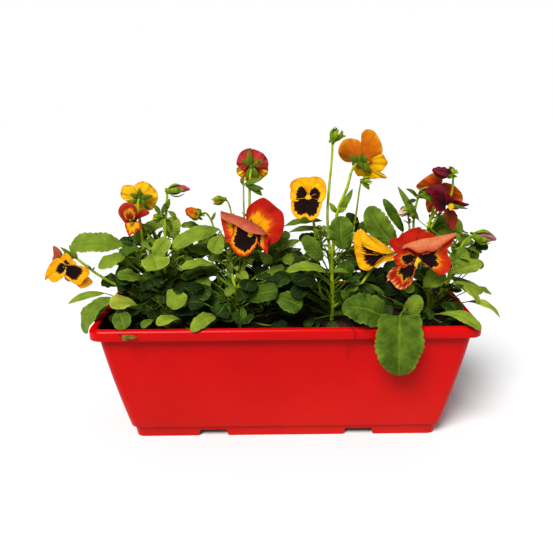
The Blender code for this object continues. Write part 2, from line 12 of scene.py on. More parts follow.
import bpy
import numpy as np
from bpy.props import FloatProperty, FloatVectorProperty, IntProperty, PointerProperty
from mathutils import Matrix, Vector

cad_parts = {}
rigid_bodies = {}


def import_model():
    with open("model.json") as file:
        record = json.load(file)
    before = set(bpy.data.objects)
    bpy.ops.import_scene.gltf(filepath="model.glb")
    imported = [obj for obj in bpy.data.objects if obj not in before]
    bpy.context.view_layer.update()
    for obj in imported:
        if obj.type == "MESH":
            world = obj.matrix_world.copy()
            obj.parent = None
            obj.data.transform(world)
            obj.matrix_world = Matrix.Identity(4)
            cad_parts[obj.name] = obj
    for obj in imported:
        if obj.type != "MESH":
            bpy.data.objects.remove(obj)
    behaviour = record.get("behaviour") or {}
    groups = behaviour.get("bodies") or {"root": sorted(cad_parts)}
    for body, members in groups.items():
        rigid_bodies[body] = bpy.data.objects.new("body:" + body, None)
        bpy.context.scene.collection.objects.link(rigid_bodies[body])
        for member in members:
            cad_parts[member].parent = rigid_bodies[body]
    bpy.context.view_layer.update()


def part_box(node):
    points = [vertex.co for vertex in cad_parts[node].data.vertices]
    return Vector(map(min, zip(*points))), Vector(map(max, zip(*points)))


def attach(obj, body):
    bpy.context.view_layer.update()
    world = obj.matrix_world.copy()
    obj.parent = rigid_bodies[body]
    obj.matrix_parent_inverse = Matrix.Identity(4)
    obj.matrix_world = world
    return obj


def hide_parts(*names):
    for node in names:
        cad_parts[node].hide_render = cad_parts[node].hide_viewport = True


bl_info = {
    "name": "Pansy planter",
    "version": (1, 0, 0),
    "blender": (4, 5, 0),
    "location": "View3D > Sidebar > Planter",
    "description": "Window trough planted with pansies in bloom",
    "category": "Add Mesh",
}

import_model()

MM = 0.001
# Where the planter is looked at from in front. Petal outlines are drawn as they look from here.
EYE = np.array((-9.5, -752.5, 418.9))

# Trough: an 18-inch window box, moulded in one piece, with an outward-rolled rim.
RIM_WIDTH = 7.0
RIM_DROP = 13.0
RIM_SHOULDER = 5.0
END_FLARE = 28.5
SIDE_FLARE = 15.0
END_BULGE = 1.6
SIDE_BULGE = 1.0
BULGE_HEIGHTS = (30, 45, 60, 80, 100, 115, 130)
PLINTH_HEIGHT = 14.5
PLINTH_STEP = 3.5
PLINTH_DRAFT = 2.0
CORNER_RADIUS = 16.0
WALL_CORNER_LESS = 4.0
PLINTH_CORNER_LESS = 6.0
LEAST_CORNER_RADIUS = 3.0
LIP_ROUND = 1.0
RIM_ROOF_DROP = 1.3
OUTSIDE_ROUNDING = 0.8
INSIDE_ROUNDING = 0.6
PLINTH_LEDGE = 1.0
INNER_LEDGE = 3.0
FLOOR_CLEARANCE = 0.3
CUT_OVERLAP = 1.0
LIP_CORNER_LESS = 6.0
CORNER_STEPS = 10
CHANNEL_X = 90.0
CHANNEL_FOOT = 34.5
CHANNEL_ROOF = 32.0
CHANNEL_HEIGHT = 9.0
CHANNEL_SPREAD = 1.1
DRAIN_RADIUS = 4.0
DRAIN_Y = 30.0
FOOT_HOLLOW_CORNER = 5.0
TROUGH_SHARP_ANGLE = 32
# The inner walls, darkened by painted shade, look back at the middle, and the scuffed rims lie at the two
# ends.
INWARD_FACING = -0.03
END_RIM_WIDTH = 12.0
END_RIM_HEIGHT = 140.0

SOIL_LEVEL = 127.0
SOIL_WAVE = 1.5
SOIL_EDGE_DROP = 4.0
FIT_GAP = 0.3
# Rings of the soil's surface, as shares of its edge, and points along its long and short sides.
SOIL_RINGS = np.linspace(0.985, 0.04, 26)
SOIL_SIDE_STEPS = (70, 24)
SOIL_WALL_TOP = 120
CRUMB_FLOOR = 110.0

CALYX_LENGTH = 4.0
PETIOLE_RADIUS = 0.9
LEAF_THICKNESS = 0.5
LEAST_HALF_WIDTH = 0.35
# Stalks are this much fuller than their routes' radii.
STALK_FULLNESS = 1.3
STALK_SIDES = 12
JOINT_SWELLING = 0.12
SKIN_SHARP_ANGLE = 50
GOLDEN_ANGLE = 137.5
FULL_TURN = 6.28

# Inner leaves grow in a low skirt, dark with painted shade deep in the planting, and a lighter
# crown above it: the ranges that each leaf is drawn from, and how far forwards, back and along
# the trough it may reach.
SKIRT = {"height": (138, 196), "reach": (14, 66), "rise": (-0.3, 0.35), "length": (18, 38),
         "tone": (0.0, 0.26), "front": -64, "back": 74, "ends": 203}
CROWN = {"height": (180, 232), "reach": (8, 46), "rise": (-0.3, 0.5), "length": (16, 30),
         "tone": (0.15, 0.65), "front": -16, "back": 70, "ends": 250}
BACK_ROW = (0, 44, -8)
LEAST_INNER_LEAF = 14
SHOOT_LEAVES = 11
# Stipules: where they sit on a stem as shares of it, between which heights, and their swings.
STIPULE_PLACES = (0.3, 0.5, 0.68)
STIPULE_HEIGHTS = (145, 262)
STIPULE_SWINGS = (0, 1.1, 2.6)

# Pattern scales, in cells to the metre, with the width of a cell.
PETAL_MOTTLE = 160.0  # 6 mm
LEAF_MOTTLE = 70.0  # 14 mm
LEAF_GRAIN = 900.0  # 1.1 mm
STALK_RIBS = 500.0  # 2 mm
SEPAL_RIBS = 260.0  # 4 mm
WITHERED_RIBS = 160.0  # 6 mm
DUST_AND_REFLECTION_CLOUDS = 9.0  # 110 mm
DUST_SPECKS = 420.0  # 2.4 mm
MOULD_WAVES = 60.0  # 17 mm
MIX_LUMPS = 150.0  # 7 mm
MIX_BITS = 260.0  # 4 mm

FLOOR_HALF_SIDE = 6.0
SENSOR_WIDTH = 36.0
KEY_ANGLE = 28
KEY_DIRECTION = (0.3, 0.62, -0.85)

# A stem is a list of routes: (radius at the foot, radius at the end, points). The first route
# stands on the soil. A route that carries a flower ends with that flower's name.
STEMS = {
    "plant_1": [
        (2.2, 1.1, [(-168, 0, 0), (-170, -4, 150), (-170, -6, 180), (-171, -4, 205),
                    (-175, 0, 240), (-177, 2, 265), (-178, 5, 281), "plant_1_flower_b"]),
        (1.5, 1.0, [(-170, -6, 180), (-166, -8, 214), (-166, -2, 240), (-174, 4, 254),
                    "plant_1_flower_c"]),
        (1.5, 1.1, [(-170, -4, 150), (-190, -16, 172), (-224, -26, 198), (-242, -28, 214),
                    (-253, -28, 222), "plant_1_flower_a"]),
    ],
    "plant_2": [
        (2.0, 1.2, [(-143, -20, 0), (-141, -24, 155), (-147, -14, 200), (-146, -2, 243),
                    (-141, 4, 296)]),
        (1.0, 0.8, [(-145, 0, 254), (-147, 0, 264), (-151, 0, 266)]),
    ],
    "plant_3": [
        (2.4, 1.5, [(-57, -20, 0), (-58, -20, 156), (-61, -20, 181), (-66, -16, 205)]),
        (1.6, 1.1, [(-60, -20, 170), (-50, -8, 205), (-36, -4, 236), (-33, -12, 254),
                    "plant_3_flower_a"]),
        (1.5, 0.9, [(-58, -20, 140), (-76, -6, 160), (-84, 4, 190), (-86, 12, 235), (-90, 14, 256),
                    (-97, 11, 267), (-103, 8, 264)]),
        (1.0, 0.8, [(-66, -16, 200), (-66, 0, 235), (-65, 14, 262), (-68, 15, 278), (-72, 15, 283)]),
    ],
    "plant_4": [
        (2.0, 1.1, [(-22, 18, 0), (-17, 20, 165), (-24, 20, 200), (-42, 16, 240),
                    (-42, 14, 275), (-41, 16, 305), "plant_4_flower_a"]),
        (1.2, 0.8, [(-24, 20, 200), (-46, 14, 228), (-49, 13, 262), (-49, 16, 303)]),
    ],
    "plant_5": [
        (2.4, 1.1, [(61, 0, 0), (62, -4, 160), (59, -5, 200), (62, -3, 235), (66, 2, 268),
                    (78, 10, 296), (84, 16, 316), "plant_5_flower_a"]),
        (1.5, 1.0, [(59, -5, 200), (54, 4, 262), (59, 13, 330), (60, 15, 353)]),
        (1.6, 1.1, [(62, -2, 145), (78, -16, 162), (92, -28, 182), (106, -28, 204),
                    (114, -33, 219), "plant_5_flower_c"]),
        (1.7, 1.1, [(61, 0, 135), (46, 4, 165), (42, 8, 210), (38, 8, 250), (33, 10, 276),
                    "plant_5_flower_b"]),
        (1.1, 0.8, [(66, 2, 200), (84, 14, 222), (91, 24, 254), (95, 22, 292), (97, 22, 303)]),
    ],
    "plant_6": [
        (2.5, 1.1, [(180, 0, 0), (187, -8, 150), (200, -12, 172), (209, -15, 200),
                    (216, -18, 230), (226, -24, 243)]),
        (1.8, 1.1, [(187, -8, 150), (180, 0, 195), (178, 3, 240), (184, 4, 262), "plant_6_flower_b"]),
        (1.6, 1.1, [(185, -6, 140), (176, -18, 178), (164, -32, 206), (153, -52, 222),
                    "plant_6_flower_a"]),
        (1.3, 1.0, [(178, 3, 240), (192, 5, 264), (204, 2, 288), (204, -1, 314)]),
        (1.3, 1.0, [(180, 0, 195), (164, 8, 232), (161, 4, 262), (164, 2, 286)]),
        (1.3, 1.0, [(178, 3, 240), (184, 10, 262), (188, 6, 280), "plant_6_flower_c"]),
        (1.1, 0.8, [(172, 4, 214), (158, 4, 240), (153, 2, 262), (151, 0, 271)]),
    ],
}

# A flower: (centre, direction it faces, how far its petals follow that direction).
FLOWERS = {
    "plant_1_flower_a": ((-262, -38, 214), (-0.35, -0.85, -0.4), 0.9),
    "plant_1_flower_b": ((-177, 15, 286), (0.1, 0.97, 0.2), 1.0),
    "plant_1_flower_c": ((-190, -3, 258), (-0.75, -0.6, 0.0), 0.7),
    "plant_3_flower_a": ((-40, -34, 254), (-0.2, -0.95, 0.1), 0.8),
    "plant_4_flower_a": ((-39, 25, 322), (0.0, 0.97, 0.2), 1.0),
    "plant_5_flower_a": ((94, 28, 326), (0.7, 0.65, 0.2), 0.45),
    "plant_5_flower_b": ((30, 0, 287), (0.0, -0.97, 0.2), 1.0),
    "plant_5_flower_c": ((119, -42, 224), (-0.4, -0.9, 0.0), 0.7),
    "plant_6_flower_a": ((148, -73, 226), (0.05, -0.97, 0.15), 1.0),
    "plant_6_flower_b": ((193, -12, 279), (0.35, -0.85, 0.3), 0.9),
    "plant_6_flower_c": ((191, 12, 292), (0.1, 0.95, 0.25), 1.0),
}

# The two pieces of a flower, and the slot names they are placed with.
GROUPS = (("upper", "upper_petal_orange"), ("lower", "lower_petal_yellow"))

# Each flower's upper and lower petals: (finish, lift towards where the flower faces, cup, ruffle,
# outline from the claw round to the claw). Outlines are (right, up) from the flower's centre.
PETALS = {
    "plant_5_flower_b": ([
        ("golden_plain", 0, 1, 0.8, [(-2, 1), (-14, 5), (-22, 12), (-21, 18), (-16, 22), (-8, 24), (1, 23),
         (2, 12), (0, 3)]),
        ("golden_plain", 0.7, 1, 0.8, [(0, 3), (-1, 14), (0, 23), (9, 25), (17, 22), (21, 16), (21, 9),
         (12, 5), (2, 1)]),
    ], [
        ("golden_blotched", 1.6, 1.5, 0.8, [(-1, 3), (-5, 14), (-11, 20), (-18, 18), (-21, 10), (-22, 1),
         (-19, -5), (-9, -4), (-1, -1)]),
        ("golden_blotched", 1.6, 1.5, 0.8, [(1, -1), (9, -5), (17, -6), (21, 0), (22, 8), (18, 15),
         (12, 18), (5, 13), (1, 3)]),
        ("golden_lip", 2.4, 1, 1.0, [(-2, -1), (-12, -2), (-20, -4), (-21, -12), (-19, -20), (-12, -27),
         (-4, -24), (3, -29), (11, -25), (15, -16), (17, -7), (10, -3), (2, -1)]),
        ("nose_yellow", 3.6, 0.3, 0.0, [(-1, 4), (-4, -1), (0, -3), (4, -1), (1, 4)]),
    ]),
    "plant_1_flower_b": ([
        ("amber_back", 0, 2, 1.2, [(-3, -2), (-13, -6), (-22, -1), (-24, 5), (-21, 14), (-16, 16),
         (-9, 15), (-3, 6)]),
        ("amber_back", 0.6, 2, 1.2, [(2, 2), (5, 12), (9, 19), (17, 13), (22, 5), (21, -4), (17, -11),
         (12, -16), (7, -10), (2, -3)]),
    ], [
        ("amber_back", 1.6, 3, 1.2, [(-4, 0), (-11, 9), (-4, 17), (2, 20), (8, 19), (7, 8), (2, 1)]),
        ("amber_back", 2.2, 2, 1.2, [(-3, -2), (-9, -6), (-14, -11), (-8, -17), (0, -18), (8, -15),
         (9, -8), (3, -2)]),
    ]),
    "plant_1_flower_c": ([
        ("wine_red", 0, 2, 1.4, [(4, 2), (-3, -1), (-8, 6), (-11, 13), (-9, 20), (-3, 25), (4, 25),
         (9, 22), (13, 13), (8, 5)]),
        ("wine_red", -0.5, 1, 0.8, [(12, 9), (17, 16), (25, 16), (26, 11), (17, 7)]),
    ], [
        ("brown_yellow", 3, 1, 1.6, [(3, 3), (-3, 6), (-5, 13), (-1, 18), (6, 19), (10, 13), (8, 5)]),
        ("red_edged_lip", 4, 1, 1.2, [(5, 2), (-4, -1), (-3, -9), (0, -17), (4, -13), (7, -16), (10, -9),
         (15, -8), (15, 1)]),
    ]),
    "plant_4_flower_a": ([
        ("rose_back", 0, 2, 1.2, [(-2, 1), (-10, -4), (-18, 2), (-17, 10), (-13, 17), (-6, 21), (1, 21),
         (2, 10)]),
        ("rose_back", 0.6, 2, 1.2, [(0, 8), (1, 20), (8, 19), (15, 15), (20, 8), (21, 0), (16, -5),
         (4, -1)]),
    ], [
        ("yellow_edge_back", 1.8, 2, 2.2, [(-2, 0), (-12, -1), (-18, -2), (-18, -9), (-13, -14), (-8, -18),
         (-3, -8)]),
        ("yellow_edge_back", 1.8, 2, 2.2, [(2, 0), (12, -1), (20, -1), (20, -9), (15, -14), (9, -17),
         (4, -8)]),
        ("yellow_edge_back", 2.6, 2, 2.2, [(-3, -3), (-9, -14), (-4, -20), (2, -20), (8, -18), (5, -8),
         (1, -3)]),
    ]),
    "plant_5_flower_a": ([
        ("orange_back", 0, 3, 1.6, [(-2, 1), (-10, -1), (-17, 0), (-23, 5), (-26, 13), (-23, 22),
         (-18, 27), (-9, 28), (0, 25), (6, 17), (6, 9), (2, 3)]),
        ("orange_back", 0.8, 3, 1.6, [(2, 3), (4, 12), (2, 30), (4, 36), (10, 39), (18, 36), (24, 28),
         (28, 19), (29, 12), (25, 6), (19, 3), (10, 2)]),
    ], [
        ("golden_back", 2.0, 2, 1.2, [(4, 1), (14, 4), (28, 9), (33, 3), (36, -1), (34, -6), (29, -12),
         (24, -13), (12, -8), (5, -3)]),
        ("golden_back", 3.0, 2, 1.2, [(2, -3), (12, -8), (24, -13), (30, -15), (36, -21), (27, -21),
         (18, -22), (10, -21), (4, -12)]),
        ("golden_back", 2.4, 2, 1.2, [(-3, -1), (-8, -3), (-6, -10), (-1, -18), (4, -18), (9, -20),
         (6, -10), (2, -3)]),
    ]),
    "plant_1_flower_a": ([
        ("red_streaked", 0, 1, 0.8, [(5, -6), (20, -12), (28, -14), (32, -20), (30, -23), (25, -26),
         (18, -28), (13, -24), (4, -8)]),
        ("wine_red", -0.8, 1, 0.4, [(3, -6), (8, -17), (4, -19), (-1, -15), (1, -6)]),
        ("salmon_back", -0.8, 1, 0.8, [(-1, 9), (-2, 19), (-10, 25), (-11, 14), (-13, 8), (-6, 5)]),
    ], [
        ("apricot_blotched_small", 1.2, 1.5, 0.8, [(1, 5), (-4, 10), (-12, 8), (-21, -4), (-25, -17),
         (-21, -15), (-16, -20), (-9, -18), (-3, -14), (2, -6)]),
        ("apricot_blotched", 1.9, 1.5, 0.8, [(5, 2), (14, 2), (24, -1), (29, -6), (28, -12), (22, -17),
         (17, -23), (10, -22), (5, -18), (0, -13), (2, -6)]),
        ("apricot_dash", 2.6, 1.5, 0.6, [(1, 4), (-3, 10), (1, 15), (5, 16), (9, 11), (12, 7), (15, 3),
         (6, 2)]),
    ]),
    "plant_3_flower_a": ([
        ("red_feathered_gold", -6, 2, 1.4, [(-3, 4), (-4, 21), (0, 30), (12, 38), (19, 38), (31, 28),
         (39, 20), (40, 4), (35, -10), (29, -15), (19, -18), (5, -6)]),
    ], [
        ("red_gold_flank", 1.0, 1, 1.0, [(-9, 4), (-28, 16), (-34, 21), (-33, 8), (-31, -1), (-30, -10),
         (-30, -14), (-25, -12), (-21, -11), (-9, -8)]),
        ("red_blotched", 1.2, 1, 1.0, [(4, -2), (14, -4), (21, -5), (21, -17), (20, -29), (15, -23),
         (10, -18), (6, -10)]),
        ("red_lip", 2.4, 1, 1.0, [(-4, 0), (-12, 5), (-19, 6), (-21, -4), (-25, -14), (-18, -27),
         (-6, -31), (5, -21), (9, -10), (4, -4)]),
        ("nose_yellow", 3.6, 0.3, 0.0, [(-2, -2), (-3, -6), (0, -8), (3, -6), (2, -2)]),
    ]),
    "plant_5_flower_c": ([
        ("golden_fold", 3.4, 2, 1.0, [(11, 4), (-9, 19), (-16, 23), (-23, 27), (-31, 33), (-30, 22),
         (-26, 12), (-16, 7), (-4, 3)]),
    ], [
        ("golden_two_blotches", 1.8, 1.5, 1.0, [(-4, 3), (-26, 14), (-31, 31), (-38, 24), (-37, 14),
         (-35, 5), (-24, 2), (-12, 1), (-2, 1)]),
        ("golden_two_blotches", 1.0, 1.5, 1.0, [(-2, 2), (-14, 4), (-27, 7), (-36, 6), (-35, 1),
         (-31, -13), (-26, -17), (-19, -18), (-14, -14), (-8, -6), (-1, -1)]),
        ("mustard", 0.4, 1, 0.6, [(-1, -1), (-9, -7), (-12, -14), (-9, -14), (-2, -8), (8, -6), (10, 1),
         (2, 1)]),
    ]),
    "plant_6_flower_a": ([
        ("scarlet_ruffled", -3.0, 2, 1.6, [(-3, 4), (-16, 8), (-22, 9), (-27, 15), (-31, 22), (-28, 26),
         (-21, 27), (-16, 32), (-7, 37), (-3, 38), (-1, 36), (0, 5)]),
        ("scarlet_ruffled", -2.2, 2, 1.6, [(0, 5), (-1, 36), (1, 39), (6, 36), (11, 33), (17, 32),
         (22, 26), (28, 20), (24, 10), (4, 3)]),
    ], [
        ("scarlet_blotched", 1.2, 1.5, 1.4, [(8, 10), (21, 12), (31, 19), (41, 28), (39, 18), (34, 12),
         (37, 5), (40, -2), (39, -11), (34, -16), (28, -17), (20, -10), (11, -5), (5, 0)]),
        ("scarlet_blotched", 1.4, 1.5, 1.2, [(-2, 7), (-10, 13), (-17, 10), (-25, 6), (-23, -2), (-18, -7),
         (-12, -8), (-6, -3), (-1, 2)]),
        ("scarlet_lip", 2.2, 1, 2.0, [(-3, -1), (-14, -7), (-25, -8), (-30, -14), (-32, -19), (-26, -25),
         (-20, -32), (-14, -34), (-8, -31), (-3, -25), (-1, -15), (2, -6)]),
        ("nose_yellow", 3.8, 0.3, 0.0, [(2, 5), (6, 0), (3, -3), (2, -7), (-1, -6), (0, 0)]),
    ]),
    "plant_6_flower_b": ([
        ("dusty_maroon", 0, 2, 1.8, [(-2, 8), (-10, 9), (-19, 12), (-25, 17), (-16, 22), (-5, 23), (0, 17),
         (1, 10)]),
    ], [
        ("dark_maroon", 1.6, 2, 1.8, [(3, 2), (1, 12), (-9, 17), (-18, 13), (-14, 6), (-13, -2), (-7, -9),
         (2, -7)]),
        ("dark_maroon", 2.4, 2, 1.8, [(3, 1), (2, 13), (7, 10), (13, 5), (22, 2), (30, -1), (22, -4),
         (14, -7), (8, -4), (4, -1)]),
        ("brown_lip", 2.0, 1, 1.8, [(6, -5), (0, -9), (3, -18), (7, -27), (11, -32), (15, -28), (17, -17),
         (13, -9)]),
        ("nose_yellow", 4.0, 0.3, 0.0, [(8, -4), (5, -1), (8, 1), (11, -1), (11, -7), (7, -8)]),
    ]),
    "plant_6_flower_c": ([
        ("orange_red_back", 0, 2, 1.4, [(2, 3), (4, 12), (1, 18), (-7, 21), (-14, 18), (-23, 11), (-28, 5),
         (-23, 0), (-10, -2)]),
        ("orange_red_back", 0.8, 2, 1.4, [(2, 4), (5, 9), (12, 8), (18, 6), (26, -1), (30, -7), (30, -15),
         (22, -14), (12, -8), (3, -2)]),
    ], [
        ("orange_red_back", 1.8, 2, 1.2, [(-4, -3), (-13, -9), (-15, -15), (-14, -21), (-11, -28),
         (-7, -26), (-5, -16), (-1, -5)]),
    ]),
}

# A petal folded forward over its own flower: (finish, lift of its upper edge, lift of its lower
# edge, upper edge, lower edge).
FOLDS = {
    "plant_3_flower_a": ("salmon_back", 2.0, 9.0,
        [(-34, 24), (-24, 21), (-8, 16), (-1, 12), (11, 5), (21, -5)],
        [(-34, 16), (-28, 12), (-17, 7), (-8, 1), (0, -3), (14, -5)]),
    "plant_6_flower_a": ("salmon_fold", 2.0, 8.0,
        [(-16, 15), (-13, 19), (5, 25), (18, 27), (33, 30), (43, 32)],
        [(-15, 14), (-9, 15), (3, 9), (12, 11), (21, 11), (31, 19), (43, 28)]),
}

# Sepals that differ from a plain ring of five: (tip right, tip up, width) from the centre.
SEPALS = {
    "plant_1_flower_b": [(0, 12, 6), (-12, 5, 6), (16, 2, 6), (-16, -10, 6), (11, -16, 6), (4, 3, 5)],
    "plant_4_flower_a": [(-3, 20, 7), (-13, 9, 5), (15, 8, 5), (-6, -18, 7), (9, -17, 7)],
    "plant_5_flower_a": [(-13, 6, 7), (12, 6, 7), (16, -15, 8), (-9, -3, 6), (3, 10, 6)],
    "plant_6_flower_c": [(0, 9, 4), (-9, 4, 4), (10, 3, 4), (-6, -10, 4), (6, -10, 4)],
    "plant_1_flower_a": [(-7, 15, 5), (-2, 19, 5), (4, 20, 5), (10, 15, 4), (-12, 9, 4)],
    "plant_1_flower_c": [(5, -4, 6), (-1, 3, 4), (14, 8, 6), (16, 0, 5), (10, 12, 5)],
    "plant_6_flower_b": [(-34, 12, 6), (-31, 17, 5), (-22, 20, 4), (28, -6, 4), (-24, 9, 5)],
}

# A bud: (where its stalk ends, direction, length, thickness, share of green, petal finish).
BUDS = {
    "plant_2_bud_a": ((-141, 4, 296), (1.0, 0, 0.05), 27, 10, 0.72, "mauve_pink"),
    "plant_3_bud_a": ((-103, 8, 264), (-0.8, -0.2, 0.45), 19, 14, 0.4, "orange_tipped"),
    "plant_5_bud_a": ((59.6, 15, 352.2), (0.5, 0.1, 0.85), 12, 11, 1.3, "golden_back"),
    "plant_6_bud_a": ((204, -1, 314), (-0.95, -0.1, 0.2), 26, 14, 0.3, "dusty_maroon"),
    "plant_6_bud_b": ((226, -24, 243), (0.93, -0.15, -0.15), 27, 12, 0.8, "mauve_brown"),
    "plant_6_bud_c": ((164, 2, 286), (0.75, -0.3, 0.5), 17, 8, 0.9, "dusty_maroon"),
}
SMALL_BUDS = {
    "plant_2_small_bud": ((-151, 0, 266), (-0.9, 0, -0.3), 10, 6, 0.8, "golden_back"),
    "plant_3_small_bud": ((-72, 15, 283), (-0.95, 0, -0.15), 14, 7, 1.2, "golden_back"),
    "plant_5_small_bud": ((97, 22, 303), (0.95, 0, 0.0), 10, 7, 1.2, "golden_back"),
    "plant_6_small_bud": ((151, 0, 271), (-0.85, -0.4, -0.35), 13, 11, 0.55, "mauve_cream"),
}

# A leaf: (height where its stalk leaves the stem, heart of the blade, tip, width, direction the
# face looks, arch of the blade as a share of its length, kind, tone from dark to light).
LEAVES = {
    "plant_1_leaf_a": (205, (-197, -10, 232), (-261, -8, 233), 32, (0, -0.8, 1), 0.14, "oval", 0.68),
    "plant_1_leaf_b": (154, (-176, -50, 168), (-202, -72, 174), 24, (0, -0.6, 1), 0.1, "spoon", 0.95),
    "plant_1_leaf_c": (160, (-209, -35, 173), (-242, -50, 133), 25, (-0.5, -0.9, 0.8), 0.3, "oval", 0.62),
    "plant_1_leaf_d": (140, (-197, -60, 164), (-184, -89, 153), 22, (0, -0.6, 1), 0.2, "spoon", 0.5),
    "plant_2_leaf_a": (190, (-160, -24, 223), (-147, -54, 213), 34, (0, -0.3, 1), 0.1, "spoon", 0.8),
    "plant_2_leaf_b": (158, (-138, -50, 187), (-118, -66, 173), 25, (0, -1, 0.5), 0.1, "spoon", 0.72),
    "plant_2_leaf_c": (195, (-80, 0, 249), (-135, -24, 233), 24, (0.1, -0.7, 1), 0.15, "oval", 0.72),
    "plant_3_leaf_a": (190, (-84, -22, 208), (-124, -40, 208), 18, (0, -0.3, 1), 0.15, "oval", 0.75),
    "plant_3_leaf_b": (135, (-83, -62, 158), (-107, -93, 151), 18, (0.3, -0.5, 1), 0.2, "oval", 0.72),
    "plant_3_leaf_c": (160, (-50, -45, 172), (-8, -58, 187), 26, (0, -0.9, 1), 0.1, "spoon", 0.36),
    "plant_4_leaf_a": (155, (-14, -50, 178), (20, -62, 168), 27, (0, -1, 0.8), 0.1, "spoon", 0.42),
    "plant_5_leaf_a": (190, (46, -26, 215), (22, -34, 246), 20, (0.2, -1, 0.4), 0.05, "oval", 0.54),
    "plant_5_leaf_b": (205, (72, -18, 226), (68, -14, 266), 31, (0, -1, 0.2), 0.05, "oval", 0.52),
    "plant_5_leaf_c": (205, (138, -2, 227), (103, 4, 273), 31, (-0.2, -1, 0.4), 0.08, "oval", 0.54),
    "plant_6_leaf_a": (170, (213, 5, 199), (245, 8, 217), 24, (-0.3, -0.8, 0.7), 0.1, "oval", 0.8),
    "plant_6_leaf_b": (165, (206, -30, 186), (234, -42, 162), 19, (0.4, -0.5, 1), 0.2, "oval", 0.8),
    "plant_6_leaf_c": (136, (226, -27, 160), (264, -36, 142), 13, (0.3, -0.4, 1), 0.2, "lance", 0.9),
    "plant_6_leaf_d": (133, (180, -64, 158), (221, -96, 151), 17, (0, -0.5, 1), 0.14, "spoon", 0.72),
    "plant_6_leaf_e": (138, (129, -94, 168), (129, -104, 99), 56, (0, -1, 0.1), 0.08, "heart", 0.46),
    "plant_6_leaf_f": (132, (111, -84, 164), (64, -88, 177), 38, (0, -1, 0.7), 0.08, "heart", 0.42),
    "plant_6_leaf_g": (160, (164, -50, 187), (186, -58, 207), 24, (0, -1, 0.6), 0.08, "spoon", 0.6),
    "plant_2_leaf_d": (165, (-136, 50, 196), (-122, 84, 188), 30, (0, 0.5, 1), 0.15, "spoon", 0.6),
    "plant_4_leaf_b": (165, (-4, 55, 200), (16, 90, 192), 30, (0, 0.5, 1), 0.15, "spoon", 0.6),
    "plant_5_leaf_d": (170, (84, 50, 196), (106, 84, 184), 30, (0, 0.5, 1), 0.15, "spoon", 0.6),
}
# A leaf whose stalk springs from another plant's stem.
OTHER_STEMS = {"plant_2_leaf_c": "plant_3"}
